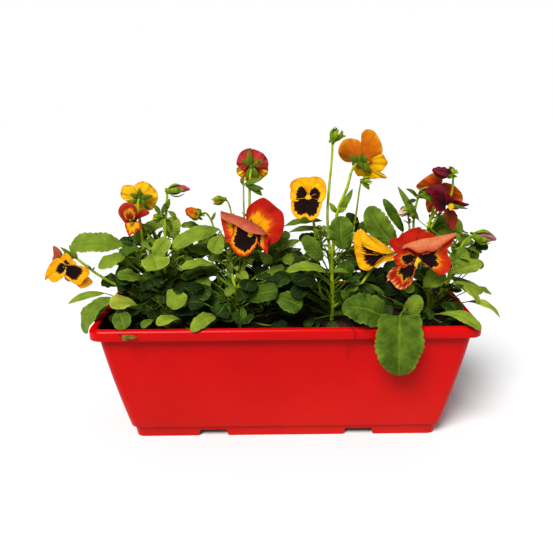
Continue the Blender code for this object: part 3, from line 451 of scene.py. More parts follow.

# Further leaves of each plant: (heart, tip, width, kind, tone). The lowest tones, on leaves low in the
# planting and at the back, are painted shade.
MORE_LEAVES = {
    "plant_1": [
        ((-193, -20, 222), (-222, -36, 211), 22, "oval", 0.7),
        ((-171, -30, 193), (-198, -45, 203), 20, "spoon", 0.55),
        ((-219, -20, 165), (-239, -25, 139), 15, "oval", 0.2),
        ((-219, -30, 177), (-265, -30, 164), 9, "lance", 0.8),
        ((-206, 46, 152), (-184, 56, 170), 22, "oval", 0.08),
        ((-196, 56, 154), (-220, 50, 166), 18, "oval", 0.08),
        ((-206, 30, 191), (-180, 30, 206), 21, "oval", 0.15),
        ((-175, 30, 183), (-160, 30, 199), 20, "oval", 0.2),
        ((-188, 20, 189), (-172, 20, 202), 18, "spoon", 0.1),
        ((-188, 10, 232), (-156, 15, 255), 18, "oval", 0.55),
        ((-157, -55, 151), (-168, -70, 147), 11, "spoon", 0.6),
    ],
    "plant_2": [
        ((-144, -5, 224), (-175, -10, 235), 20, "oval", 0.6),
        ((-156, -30, 221), (-139, -20, 242), 20, "oval", 0.75),
        ((-160, 0, 250), (-148, 5, 266), 16, "oval", 0.65),
        ((-143, 5, 238), (-131, 0, 264), 23, "oval", 0.8),
        ((-119, -25, 181), (-89, -35, 187), 22, "spoon", 0.52),
        ((-125, 20, 205), (-98, 18, 213), 22, "oval", 0.25),
        ((-120, 30, 218), (-142, 30, 231), 20, "oval", 0.25),
        ((-150, 20, 214), (-168, 25, 230), 18, "spoon", 0.35),
        ((-108, 15, 224), (-90, 20, 237), 19, "oval", 0.4),
        ((-112, 10, 198), (-95, 5, 185), 22, "spoon", 0.12),
        ((-164, 58, 156), (-138, 60, 168), 20, "oval", 0.05),
        ((-107, -30, 168), (-106, -35, 145), 15, "spoon", 0.3),
        ((-124, -66, 156), (-146, -90, 158), 15, "spoon", 0.85),
        ((-105, 20, 246), (-129, 20, 249), 13, "oval", 0.55),
    ],
    "plant_3": [
        ((-93, -15, 201), (-123, -25, 195), 15, "oval", 0.3),
        ((-90, 5, 217), (-118, -5, 226), 19, "oval", 0.6),
        ((-75, -10, 244), (-84, -25, 224), 21, "spoon", 0.72),
        ((-88, -35, 146), (-68, -35, 164), 23, "spoon", 0.35),
        ((-61, -30, 184), (-70, -40, 175), 12, "oval", 0.6),
        ((-57, -25, 201), (-44, -40, 193), 13, "lance", 0.7),
        ((-66, -20, 198), (-64, -22, 213), 8, "lance", 0.6),
        ((-51, -45, 163), (-50, -55, 147), 8, "lance", 0.4),
    ],
    "plant_4": [
        ((-18, 10, 203), (3, 15, 208), 13, "oval", 0.5),
        ((-24, 4, 214), (-7, 2, 231), 14, "oval", 0.5),
        ((-10, 10, 212), (5, 12, 236), 12, "lance", 0.75),
        ((-14, -8, 206), (-30, -14, 222), 13, "lance", 0.7),
        ((-22, 0, 204), (-4, -4, 220), 16, "oval", 0.3),
        ((-40, 18, 194), (-26, 20, 208), 15, "spoon", 0.2),
        ((50, -40, 204), (2, -46, 207), 15, "oval", 0.7),
        ((23, -25, 174), (33, -30, 196), 23, "spoon", 0.2),
        ((8, 30, 237), (54, 25, 238), 10, "lance", 0.5),
        ((2, 35, 244), (50, 35, 250), 12, "lance", 0.5),
        ((-5, -10, 224), (20, -15, 237), 9, "lance", 0.55),
    ],
    "plant_5": [
        ((53, -30, 200), (78, -35, 201), 7, "lance", 0.6),
        ((73, -15, 185), (75, -20, 212), 21, "spoon", 0.36),
        ((84, 4, 196), (112, -2, 212), 16, "oval", 0.2),
        ((56, 10, 176), (38, 0, 200), 18, "oval", 0.12),
        ((69, -30, 177), (80, -35, 165), 11, "lance", 0.4),
        ((100, -30, 185), (124, -30, 169), 5, "lance", 0.5),
        ((87, 10, 237), (65, 0, 226), 8, "lance", 0.5),
        ((150, 12, 240), (124, 15, 281), 13, "oval", 0.4),
        ((93, 30, 236), (81, 30, 261), 15, "oval", 0.25),
        ((100, 25, 233), (106, 25, 251), 15, "oval", 0.35),
    ],
    "plant_6": [
        ((167, 5, 256), (139, 5, 298), 9, "lance", 0.6),
        ((204, -15, 206), (222, -20, 224), 24, "oval", 0.62),
        ((209, -10, 186), (247, -16, 168), 15, "oval", 0.75),
        ((240, -5, 170), (262, -5, 161), 9, "lance", 0.7),
        ((141, -64, 158), (156, -70, 183), 21, "oval", 0.66),
        ((132, -55, 192), (150, -65, 188), 15, "spoon", 0.7),
        ((204, -20, 196), (240, -26, 209), 17, "oval", 0.72),
        ((184, 20, 227), (212, 20, 258), 28, "oval", 0.6),
        ((202, 30, 224), (226, 30, 250), 26, "oval", 0.62),
        ((106, 20, 168), (134, 22, 186), 24, "oval", 0.1),
        ((100, 28, 176), (118, 34, 192), 22, "spoon", 0.15),
        ((142, 60, 154), (168, 62, 166), 20, "oval", 0.05),
        ((96, 58, 156), (122, 60, 164), 20, "oval", 0.05),
    ],
}

# Leaflets that spring straight from a stalk: (place on the stalk, tip, width, tone).
LEAFLETS = {
    "plant_1": [
        ((-248, -28, 219), (-256, -30, 238), 6, 0.8), ((-250, -28, 220), (-266, -32, 236), 5, 0.7),
        ((-174, 2, 256), (-160, 0, 250), 5, 0.5), ((-176, 1, 250), (-186, 0, 262), 5, 0.5),
    ],
    "plant_2": [
        ((-143, 2, 272), (-138, 0, 287), 6, 0.6), ((-142, 2, 272), (-131, -1, 262), 6, 0.6),
        ((-150, 0, 266), (-158, 0, 280), 6, 0.6), ((-149, 0, 266), (-144, -2, 282), 5, 0.5),
        ((-146, 0, 262), (-138, -4, 250), 5, 0.4),
    ],
    "plant_3": [((-66, 6, 248), (-76, 4, 262), 5, 0.6), ((-90, 12, 256), (-84, 10, 268), 4, 0.6)],
    "plant_4": [
        ((-49, 16, 301), (-26, 10, 308), 7, 0.55), ((-48, 16, 300), (-24, 9, 296), 8, 0.4),
        ((-44, 14, 300), (-26, 9, 288), 8, 0.45), ((-50, 16, 300), (-52, 14, 309), 5, 0.7),
    ],
    "plant_5": [
        ((67, 3, 268), (84, 3, 296), 8, 0.6), ((66, 2, 266), (56, 0, 280), 7, 0.75),
        ((67, 3, 266), (78, 0, 276), 7, 0.85), ((97, 22, 300), (107, 20, 292), 6, 0.6),
        ((60, 15, 352), (76, 14, 358), 5, 0.7),
    ],
    "plant_6": [
        ((164, 2, 283), (148, 0, 296), 5, 0.35), ((163, 2, 282), (150, -2, 280), 5, 0.3),
        ((153, 1, 264), (160, -2, 276), 6, 0.5), ((152, 1, 262), (160, -4, 266), 5, 0.6),
        ((216, -18, 231), (206, -20, 246), 6, 0.7), ((226, -24, 243), (216, -26, 232), 5, 0.8),
    ],
}

# Dry scraps lying over the front rim.
WITHERED_LEAFLET = ((-186, -95, 147), (-168, -95, 146))
ROOT_THREAD = ((73, -89, 154), (79, -94, 149), (79, -94, 139), (73, -88, 126), (72, -86, 112))

# Where each plant's leafy shoot tips are.
SHOOTS = {
    "plant_1": [(-178, -12, 208), (-160, 12, 222)],
    "plant_2": [(-132, -22, 206), (-118, 14, 212)],
    "plant_3": [(-66, -16, 204), (-84, 6, 222), (-46, -12, 216)],
    "plant_4": [(-14, 6, 222), (4, 14, 208), (-30, 22, 232)],
    "plant_5": [(44, -6, 228), (84, -4, 206), (104, 14, 212)],
    "plant_6": [(156, -12, 206), (212, -10, 212), (190, 16, 232)],
}

# How the half width of a blade runs along it: (slowness of the start, slowness of the end, depth
# of the lobes beside its stalk as a share of its length).
BLADES = {
    "oval": (0.62, 0.5, 0.0),
    "heart": (0.38, 0.55, 0.15),
    "spoon": (0.95, 0.46, 0.0),
    "lance": (0.8, 0.85, 0.0),
}

# The near black blotch at a petal's claw, and its rim.
INK = "120708"
SOOT = "1C0A08"

# Undersides that several finishes share.
GOLDEN_UNDERSIDE = ((0, "D8A020"), (1, "D98A10"))
RED_UNDERSIDE = ((0, "BB4A34"), (1, "B33B2C"))
SCARLET_UNDERSIDE = ((0, "C25934"), (1, "BB432C"))

# Petal finishes: (feathering, stops from the claw to the rim on the face, stops on the back).
PETAL_FINISHES = {
    "golden_plain": (0.1, ((0, "723607"), (0.12, "D48A08"), (0.75, "F0B010"), (0.92, "EFA80E"),
        (1, "DE7E0C")), GOLDEN_UNDERSIDE),
    "golden_blotched": (0.25, ((0, "D8A010"), (0.06, INK), (0.6, SOOT), (0.64, "8A4A08"), (0.68, "F0B412"),
        (0.92, "F0AE0E"), (1, "DC7A0C")), GOLDEN_UNDERSIDE),
    "golden_lip": (0.22, ((0, "F0C020"), (0.08, "E8B010"), (0.12, INK), (0.78, SOOT), (0.82, "8A4A08"),
        (0.86, "F4B810"), (1, "E08A0C")), GOLDEN_UNDERSIDE),
    "amber_back": (0.2, ((0, "D89010"), (1, "E8A80C")), ((0, "C8860C"), (0.25, "F2B010"), (0.85, "F8C01C"),
        (1, "E88E14"))),
    "wine_red": (0.4, ((0, "3A0808"), (0.4, "6A1010"), (0.75, "9A2012"), (1, "B03818")), ((0, "540E0E"),
        (1, "951D16"))),
    "brown_yellow": (0.5, ((0, "D8A010"), (0.25, "4A1607"), (0.55, "82240E"), (0.8, "D8901A"),
        (1, "A8300E")), ((0, "B07010"), (1, "C08018"))),
    "red_edged_lip": (0.45, ((0, "F0C018"), (0.2, "5A1A08"), (0.4, "E8A80E"), (0.7, "D8920E"),
        (0.85, "B0480E"), (1, "9A2410")), ((0, "D09010"), (1, "B34A0E"))),
    "rose_back": (0.75, ((0, "AC2C0E"), (1, "A4252C")), ((0, "E8A018"), (0.32, "D4741E"), (0.52, "B83E2C"),
        (0.85, "B4302E"), (1, "A82434"))),
    "yellow_edge_back": (0.4, ((0, "C06010"), (1, "E8A810")), ((0, "7A201C"), (0.45, "9C341E"),
        (0.62, "C86C18"), (0.76, "EEB218"), (0.9, "F0B818"), (1, "B8401A"))),
    "orange_back": (0.3, ((0, "C87010"), (1, "E09010")), ((0, "B87810"), (0.15, "B4560A"), (0.6, "C0600A"),
        (0.88, "CA700C"), (1, "D68C1C"))),
    "golden_back": (0.25, ((0, "1A0808"), (0.3, "682507"), (0.45, "E0A010"), (1, "E8AC0C")),
        ((0, "8A5A10"), (0.25, "BC8A0A"), (0.4, "7A360A"), (0.5, "C88C08"), (0.62, "E2A606"),
        (0.9, "E6AA06"), (1, "D08010"))),
    "red_streaked": (0.5, ((0, "2A0808"), (0.4, "81250E"), (0.8, "D88010"), (1, "E09A10")), ((0, "B06010"),
        (1, "D08018"))),
    "salmon_back": (0.5, ((0, "983828"), (0.5, "A84E36"), (1, "B8603E")), ((0, "983828"), (0.5, "A84E36"),
        (1, "B8603E"))),
    "salmon_fold": (0.7, ((0, "AE160D"), (1, "AE160D")), ((0, "BC6034"), (0.4, "C07048"), (0.85, "B45030"),
        (1, "902414"))),
    "apricot_blotched": (0.18, ((0, "F0B010"), (0.05, INK), (0.66, SOOT), (0.72, "8A4A08"),
        (0.76, "FFBA10"), (1, "F8A00C")), GOLDEN_UNDERSIDE),
    "apricot_blotched_small": (0.24, ((0, "F0B010"), (0.1, INK), (0.4, SOOT), (0.46, "C07808"),
        (0.5, "FFB80C"), (1, "F8A40C")), GOLDEN_UNDERSIDE),
    "apricot_dash": (0.2, ((0, "F0B010"), (0.2, INK), (0.4, "2C0C08"), (0.5, "F8A808"), (1, "FFB40C")),
        GOLDEN_UNDERSIDE),
    "red_feathered_gold": (0.45, ((0, "722507"), (0.08, "C87808"), (0.3, "E79D08"), (0.5, "E8960A"),
        (0.6, "C0400D"), (0.74, "AE1C0C"), (1, "A4160C")), RED_UNDERSIDE),
    "red_blotched": (0.4, ((0, "E8B010"), (0.06, INK), (0.5, SOOT), (0.56, "E0940A"), (0.66, "DC780A"),
        (0.76, "B4280D"), (1, "A4120E")), RED_UNDERSIDE),
    "red_lip": (0.3, ((0, "E8B010"), (0.08, INK), (0.78, SOOT), (0.84, "E89C08"), (0.9, "DC700A"),
        (0.95, "B4300C"), (1, "AC200E")), RED_UNDERSIDE),
    "nose_yellow": (0.1, ((0, "E8C030"), (0.6, "E8B414"), (1, "C8900C")), ((0, "D0A020"), (1, "C09018"))),
    "golden_fold": (0.2, ((0, "E8A810"), (1, "EAA810")), ((0, "DA9B0B"), (0.5, "E8A10E"), (0.9, "E8A810"),
        (1, "C88008"))),
    "golden_two_blotches": (0.3, ((0, "D89808"), (0.08, INK), (0.64, SOOT), (0.7, "8A4A08"),
        (0.75, "EEAA0C"), (1, "E89C08")), GOLDEN_UNDERSIDE),
    "mustard": (0.3, ((0, "A87010"), (0.5, "C88C0C"), (1, "D89A10")), ((0, "C89018"), (1, "B87810"))),
    "scarlet_ruffled": (0.4, ((0, "B3360E"), (0.4, "B4280C"), (0.8, "B4200C"), (1, "A8140A")),
        SCARLET_UNDERSIDE),
    "scarlet_blotched": (0.45, ((0, "E8B010"), (0.06, INK), (0.58, SOOT), (0.63, "E09A10"),
        (0.68, "C8500C"), (0.78, "B4300C"), (1, "AC180A")), SCARLET_UNDERSIDE),
    "scarlet_lip": (0.6, ((0, "E8B010"), (0.08, INK), (0.58, SOOT), (0.64, "D8900C"), (0.7, "A8280C"),
        (0.84, "8E1A0C"), (0.93, "B84A18"), (1, "E09058")), SCARLET_UNDERSIDE),
    "dusty_maroon": (0.25, ((0, "450E16"), (1, "721D2C")), ((0, "54161D"), (0.6, "641D2C"),
        (1, "702536"))),
    "dark_maroon": (0.3, ((0, "1A0608"), (0.5, "2F0B0E"), (0.85, "540912"), (1, "810E16")), ((0, "450E16"),
        (1, "63161F"))),
    "brown_lip": (0.3, ((0, "C89010"), (0.15, "1A0808"), (0.5, "54180B"), (0.85, "72250E"), (1, "811812")),
        ((0, "541D0E"), (1, "722516"))),
    "orange_red_back": (0.3, ((0, "B33B0E"), (1, "D07014")), ((0, "C86818"), (0.4, "AC2C0E"),
        (0.8, "B3450E"), (1, "C96212"))),
    "red_gold_flank": (0.5, ((0, INK), (0.52, SOOT), (0.6, "E8960A"), (0.72, "E0820A"), (0.8, "BB3A0D"),
        (1, "A8200E")), RED_UNDERSIDE),
    "mauve_pink": (0.5, ((0, "9D3B52"), (1, "B34A59")), ((0, "C8A0A0"), (0.4, "AC4359"), (1, "812534"))),
    "orange_tipped": (0.3, ((0, "D88A10"), (1, "B33B0E")), ((0, "D8A020"), (0.55, "E8981A"),
        (0.85, "DC6A18"), (1, "A8240E"))),
    "mauve_brown": (0.5, ((0, "8A5058"), (1, "A06868")), ((0, "B09088"), (0.5, "8C5458"), (1, "72363F"))),
    "mauve_cream": (0.6, ((0, "A06070"), (1, "D8C0A0")), ((0, "8A5060"), (0.5, "C8A890"), (1, "8A4858"))),
}


# Colours, nodes and meshes -----------------------------------------------------------------


def linear(colour):
    """An sRGB hex colour, or sRGB numbers, as linear RGBA."""
    if isinstance(colour, str):
        colour = [int(colour[i:i + 2], 16) / 255 for i in (0, 2, 4)]
    low_end = 0.04045
    return (*(c / 12.92 if c <= low_end else ((c + 0.055) / 1.055) ** 2.4 for c in colour[:3]), 1.0)


def add_node(tree, kind, inputs=(), stops=None, **settings):
    """Adds a node and gives its outputs. An input that is a socket is linked, and any other is a
    value. A shader or maths node is named without its ShaderNode, and any other by its whole name.
    """
    node = tree.nodes.new(kind if "Node" in kind else f"ShaderNode{kind}")
    for name, value in settings.items():
        setattr(node, name, value)
    for key, value in inputs.items() if isinstance(inputs, dict) else enumerate(inputs):
        if isinstance(value, bpy.types.NodeSocket):
            tree.links.new(value, node.inputs[key])
        else:
            node.inputs[key].default_value = value
    if stops:
        ramp = node.color_ramp
        ramp.elements[0].position, ramp.elements[1].position = stops[0][0], stops[-1][0]
        for place, _ in stops[1:-1]:
            ramp.elements.new(place)
        for element, (_, colour) in zip(ramp.elements, stops):
            element.color = linear(colour)
    return node.outputs


def new_finish(name, shader_inputs):
    """A material, add_node for its tree, and its Principled shader."""
    material = bpy.data.materials.new(name)
    material.use_nodes = True
    shader = material.node_tree.nodes["Principled BSDF"]
    for key, value in shader_inputs.items():
        shader.inputs[key].default_value = value
    return material, partial(add_node, material.node_tree), shader


def connect(shader, **sources):
    """Links sockets to the shader's inputs of the same names."""
    for key, socket in sources.items():
        shader.id_data.links.new(socket, shader.inputs[key.replace("_", " ").title()])


def skin_values(add):
    """What a skin tells its finishes: across, along, tone and underside."""
    surface = add("SeparateXYZ", {0: add("TexCoord")["UV"]})
    tone = add("Attribute", attribute_name="tone")["Fac"]
    under = add("Attribute", attribute_name="underside")["Fac"]
    return surface[0], surface[1], tone, under


def finished_mesh(holder):
    """The mesh of an object with its modifiers carried out. The object is removed."""
    graph = bpy.context.evaluated_depsgraph_get()
    mesh = bpy.data.meshes.new_from_object(holder.evaluated_get(graph))
    bpy.data.objects.remove(holder)
    return mesh


def new_geometry_tree(name, **inputs):
    """A Geometry Nodes tree with named inputs, add_node for it, its given values and its sockets."""
    tree = bpy.data.node_groups.new(name, "GeometryNodeTree")
    sockets = [
        tree.interface.new_socket(key.replace("_", " "), in_out="INPUT", socket_type=f"NodeSocket{kind}")
        for key, kind in {"Geometry": "Geometry", **inputs}.items()
    ]
    tree.interface.new_socket("Geometry", in_out="OUTPUT", socket_type="NodeSocketGeometry")
    return tree, partial(add_node, tree), add_node(tree, "NodeGroupInput"), sockets[1:]


def run_tree(tree, made, material, name, data, values):
    """The mesh a tree makes of a curve or a mesh, made real and coated, with its inputs set."""
    real = add_node(tree, "GeometryNodeRealizeInstances", [made])
    coated = add_node(tree, "GeometryNodeSetMaterial", {"Geometry": real[0], "Material": material})
    add_node(tree, "NodeGroupOutput", [coated[0]])
    holder = bpy.data.objects.new(name, data)
    bpy.context.scene.collection.objects.link(holder)
    modifier = holder.modifiers.new(name, "NODES")
    modifier.node_group = tree
    for socket, value in values:
        modifier[socket.identifier] = value
    mesh = finished_mesh(holder)
    bpy.data.node_groups.remove(tree)
    return mesh


def add_piece(name, mesh, replaced=()):
    """Puts a mesh in the scene as a piece of the planter, in place of the solids it replaces."""
    piece = bpy.data.objects.new(name, mesh)
    bpy.context.scene.collection.objects.link(piece)
    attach(piece, "root")
    if replaced:
        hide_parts(*replaced)
    return piece


def spline(points, count):
    """Evenly spaced points on a smooth curve through the given ones."""
    knots = np.array(points, float)
    knots = np.vstack([2 * knots[0] - knots[1], knots, 2 * knots[-1] - knots[-2]])
    t = np.linspace(0, 1, 16, endpoint=False)[:, None]
    dense = [
        0.5 * (2 * b + (c - a) * t + (2 * a - 5 * b + 4 * c - d) * t**2
               + (3 * b - a - 3 * c + d) * t**3)
        for a, b, c, d in zip(knots, knots[1:], knots[2:], knots[3:])
    ]
    dense = np.vstack([*dense, knots[-2][None]])
    run = np.concatenate([[0], np.cumsum(np.linalg.norm(np.diff(dense, axis=0), axis=1))])
    places = np.linspace(0, run[-1], count)
    return np.stack([np.interp(places, run, column) for column in dense.T], axis=1)


def unit(vector):
    """One or more vectors at length 1."""
    vector = np.asarray(vector, float)
    return vector / np.linalg.norm(vector, axis=-1, keepdims=True)


class Skin:
    """Closed skins gathered into one mesh, with the UV map and the tones its finishes read."""

    def __init__(self):
        self.points, self.uv, self.under, self.tone = [], [], [], []
        self.faces, self.slots = [], []
        self.count = 0

    def add(self, points, faces, uv, under, tone, slot):
        self.points.append(points)
        self.uv.append(uv)
        self.under.append(under)
        self.tone.append(np.full(len(points), tone))
        self.faces.append(faces + self.count)
        self.slots.append(np.full(len(faces), slot))
        self.count += len(points)

    def add_sheet(self, grid, thickness, tone=0.5, slot=0, across=None, along=None):
        """A thin sheet round a grid of points. Its face looks along columns x rows."""
        rows, columns = grid.shape[:2]
        by_row, by_column = np.gradient(grid, axis=0), np.gradient(grid, axis=1)
        normal = np.cross(by_column, by_row)
        normal /= np.maximum(np.linalg.norm(normal, axis=2, keepdims=True), 1e-9)
        half = normal * thickness / 2
        points = np.concatenate([(grid + half).reshape(-1, 3), (grid - half).reshape(-1, 3)])
        across = np.linspace(0, 1, columns) if across is None else across
        along = np.linspace(0, 1, rows) if along is None else along
        uv = np.stack(np.meshgrid(across, along), axis=2).reshape(-1, 2)
        number = np.arange(rows * columns).reshape(rows, columns)
        back = number + rows * columns
        a, b, c, d = number[:-1, :-1], number[:-1, 1:], number[1:, 1:], number[1:, :-1]
        top = np.stack([a, b, c, d], axis=2).reshape(-1, 4)
        low = (top + rows * columns)[:, ::-1]
        rims = [
            np.stack([back[0, :-1], back[0, 1:], number[0, 1:], number[0, :-1]], axis=1),
            np.stack([number[-1, :-1], number[-1, 1:], back[-1, 1:], back[-1, :-1]], axis=1),
            np.stack([number[:-1, 0], number[1:, 0], back[1:, 0], back[:-1, 0]], axis=1),
            np.stack([back[:-1, -1], back[1:, -1], number[1:, -1], number[:-1, -1]], axis=1),
        ]
        under = np.repeat([0.0, 1.0], rows * columns)
        self.add(points, np.concatenate([top, low, *rims]), np.tile(uv, (2, 1)), under, tone, slot)

    def add_tube(self, route, radii, sides=8, tone=0.5, slot=0, flutes=0, flute_depth=0.0):
        """A round tube along a route, closed to a point at each end."""
        route = np.asarray(route, float)
        count = len(route)
        along = unit(np.gradient(route, axis=0))
        side = unit(np.cross(along[0], (0.3, 0.9, 0.1)))
        turns = np.linspace(0, 2 * math.pi, sides, endpoint=False)
        rings = []
        for number in range(count):
            side = unit(side - along[number] * side.dot(along[number]))
            other = np.cross(along[number], side)
            radius = radii[number] * (1 + flute_depth * np.cos(flutes * turns))[:, None]
            flat = np.cos(turns)[:, None] * side + np.sin(turns)[:, None] * other
            rings.append(route[number] + flat * radius)
        points = np.concatenate([*rings, route[:1], route[-1:]])
        number = np.arange(count * sides).reshape(count, sides)
        ahead = np.roll(number, -1, axis=1)
        faces = np.stack([number[:-1], ahead[:-1], ahead[1:], number[1:]], axis=2).reshape(-1, 4)
        first, last = count * sides, count * sides + 1
        ends = [(first, ahead[0, i], number[0, i], number[0, i]) for i in range(sides)]
        ends += [(last, number[-1, i], ahead[-1, i], ahead[-1, i]) for i in range(sides)]
        uv = np.stack(np.meshgrid(turns / (2 * math.pi), np.linspace(0, 1, count)), axis=2)
        uv = np.concatenate([uv.reshape(-1, 2), [[0, 0], [0, 1]]])
        faces = np.concatenate([faces, np.array(ends)])
        self.add(points, faces, uv, np.zeros(len(points)), tone, slot)

    def place(self, name, materials, slot, replaced=()):
        """Puts the gathered skins in the scene as one piece."""
        add_piece(name, self.build(name, materials), replaced)

    def build(self, name, materials):
        points = np.concatenate(self.points) * MM
        faces = np.concatenate(self.faces).tolist()
        faces = [face[:3] if face[2] == face[3] else face for face in faces]
        mesh = bpy.data.meshes.new(name)
        mesh.from_pydata(points.tolist(), [], faces)
        corners = np.empty(len(mesh.loops), dtype=np.int64)
        mesh.loops.foreach_get("vertex_index", corners)
        layer = mesh.uv_layers.new(name="surface")
        layer.data.foreach_set("uv", np.concatenate(self.uv)[corners].ravel())
        for key, values in (("underside", self.under), ("tone", self.tone)):
            layer = mesh.attributes.new(key, "FLOAT", "POINT")
            layer.data.foreach_set("value", np.concatenate(values))
        mesh.polygons.foreach_set("material_index", np.concatenate(self.slots))
        for material in materials:
            mesh.materials.append(material)
        mesh.shade_smooth()
        mesh.set_sharp_from_angle(angle=math.radians(SKIN_SHARP_ANGLE))
        mesh.update()
        return mesh


# Finishes ----------------------------------------------------------------------------------


def petal_finish(name):
    """Living petal: pigmented velvet tissue. It is matt, with rays running from its claw."""
    feather, front, back = PETAL_FINISHES[name]
    material, add, shader = new_finish(f"pansy_petal_{name}", {"Specular IOR Level": 0.04})
    across, along, tone, under = skin_values(add)
    # Rays: 34 across a petal, about 2 mm wide at its rim, with finer ones in them.
    rays = add("CombineXYZ", {
        key: add("Math", [value, factor], operation="MULTIPLY")[0]
        for key, (value, factor) in enumerate(((across, 34.0), (along, 2.2), (tone, 40.0)))
    })[0]
    ray = add("TexNoise", {"Vector": rays, "Scale": 1.0, "Detail": 3.0})[0]
    reach = add("Math", [ray, 0.5], operation="SUBTRACT")[0]
    place = add("Math", [reach, feather, along], operation="MULTIPLY_ADD")[0]
    face_colour = add("ValToRGB", [place], front)[0]
    back_colour = add("ValToRGB", [place], back)[0]
    colour = add("Mix", {0: under, 6: face_colour, 7: back_colour}, data_type="RGBA")[2]
    spots = add("TexNoise", {"Vector": add("TexCoord")["Object"], "Scale": PETAL_MOTTLE, "Detail": 3.0})[0]
    light = add("MapRange", [spots, 0.3, 0.7, 0.66, 0.84])[0]
    vein = add("MapRange", [ray, 0.35, 0.65, 0.9, 1.08])[0]
    light = add("Math", [light, vein], operation="MULTIPLY")[0]
    colour = add("HueSaturation", {"Value": light, "Color": colour})[0]
    rough = add("MapRange", [spots, 0.3, 0.7, 0.55, 0.72])[0]
    bump = add("Bump", {"Height": ray, "Strength": 0.5, "Distance": 0.0006})[0]
    connect(shader, base_color=colour, roughness=rough, normal=bump)
    return material


def petal_material(name):
    """The petal material of that finish, made the first time it is asked for."""
    return bpy.data.materials.get(f"pansy_petal_{name}") or petal_finish(name)


def leaf_finish():
    """Living pansy leaf: waxy green blade with a pale midrib and curved side veins."""
    material, add, shader = new_finish("pansy_leaf_blade", {"Specular IOR Level": 0.03})
    across, along, tone, under = skin_values(add)
    place = add("TexCoord")["Object"]
    centred = add("Math", [across, 2.0, -1.0], operation="MULTIPLY_ADD")[0]
    away = add("Math", [centred], operation="ABSOLUTE")[0]
    midrib = add("MapRange", [away, 0.1, 0.02, 0.0, 0.6])[0]
    # Side veins: seven a side, swept towards the tip.
    sweep = add("Math", [away, -0.24, along], operation="MULTIPLY_ADD")[0]
    phase = add("Math", [sweep, 7 * math.pi], operation="MULTIPLY")[0]
    wave = add("Math", [phase], operation="SINE")[0]
    wave = add("Math", [wave], operation="ABSOLUTE")[0]
    vein = add("MapRange", [wave, 0.3, 0.04, 0.0, 0.2])[0]
    vein = add("Math", [vein, midrib], operation="MAXIMUM")[0]
    blotch = add("TexNoise", {"Vector": place, "Scale": LEAF_MOTTLE, "Detail": 4.0})[0]
    spread = add("Math", [blotch, 0.5, -0.16], operation="MULTIPLY_ADD")[0]
    shade = add("Math", [tone, 0.8, spread], operation="MULTIPLY_ADD")[0]
    edge = add("MapRange", [away, 0.8, 1.0, 0.0, 0.12])[0]
    shade = add("Math", [shade, edge], operation="ADD")[0]
    # The darkest stops, which the low tones reach, are painted shade for leaves deep in the planting.
    green = add("ValToRGB", [shade], (
        (0.05, "0A1405"), (0.24, "172808"), (0.42, "344A0D"), (0.58, "52661A"),
        (0.76, "6C7C20"), (1.0, "9AA038"),
    ))[0]
    amount = add("Math", [vein, shade], operation="MULTIPLY")[0]
    veined = add("Mix", {0: amount, 6: green, 7: linear("7E9230")}, data_type="RGBA")[2]
    pale = add("Mix", {0: 0.4, 6: veined, 7: linear("5E7426")}, data_type="RGBA")[2]
    colour = add("Mix", {0: under, 6: veined, 7: pale}, data_type="RGBA")[2]
    rough = add("MapRange", [blotch, 0.3, 0.7, 0.38, 0.55])[0]
    grain = add("TexNoise", {"Vector": place, "Scale": LEAF_GRAIN, "Detail": 2.0})[0]
    height = add("Math", [grain, 0.25, wave], operation="MULTIPLY_ADD")[0]
    bump = add("Bump", {"Height": height, "Strength": 0.6, "Distance": 0.0005})[0]
    connect(shader, base_color=colour, roughness=rough, normal=bump)
    return material


def stalk_finish(name, light, dark, scale):
    """Living green stalk: juicy ribbed skin, lighter where the sun falls through it."""
    material, add, shader = new_finish(name, {"Specular IOR Level": 0.05})
    place = add("TexCoord")["Object"]
    stretched = add("Mapping", {0: place, 3: (1.0, 1.0, 0.12)})[0]
    ribs = add("TexNoise", {"Vector": stretched, "Scale": scale, "Detail": 3.0})[0]
    colour = add("ValToRGB", [ribs], ((0.25, dark), (0.7, light)))[0]
    rough = add("MapRange", [ribs, 0.3, 0.7, 0.4, 0.55])[0]
    bump = add("Bump", {"Height": ribs, "Strength": 0.4, "Distance": 0.0004})[0]
    connect(shader, base_color=colour, roughness=rough, normal=bump)
    return material


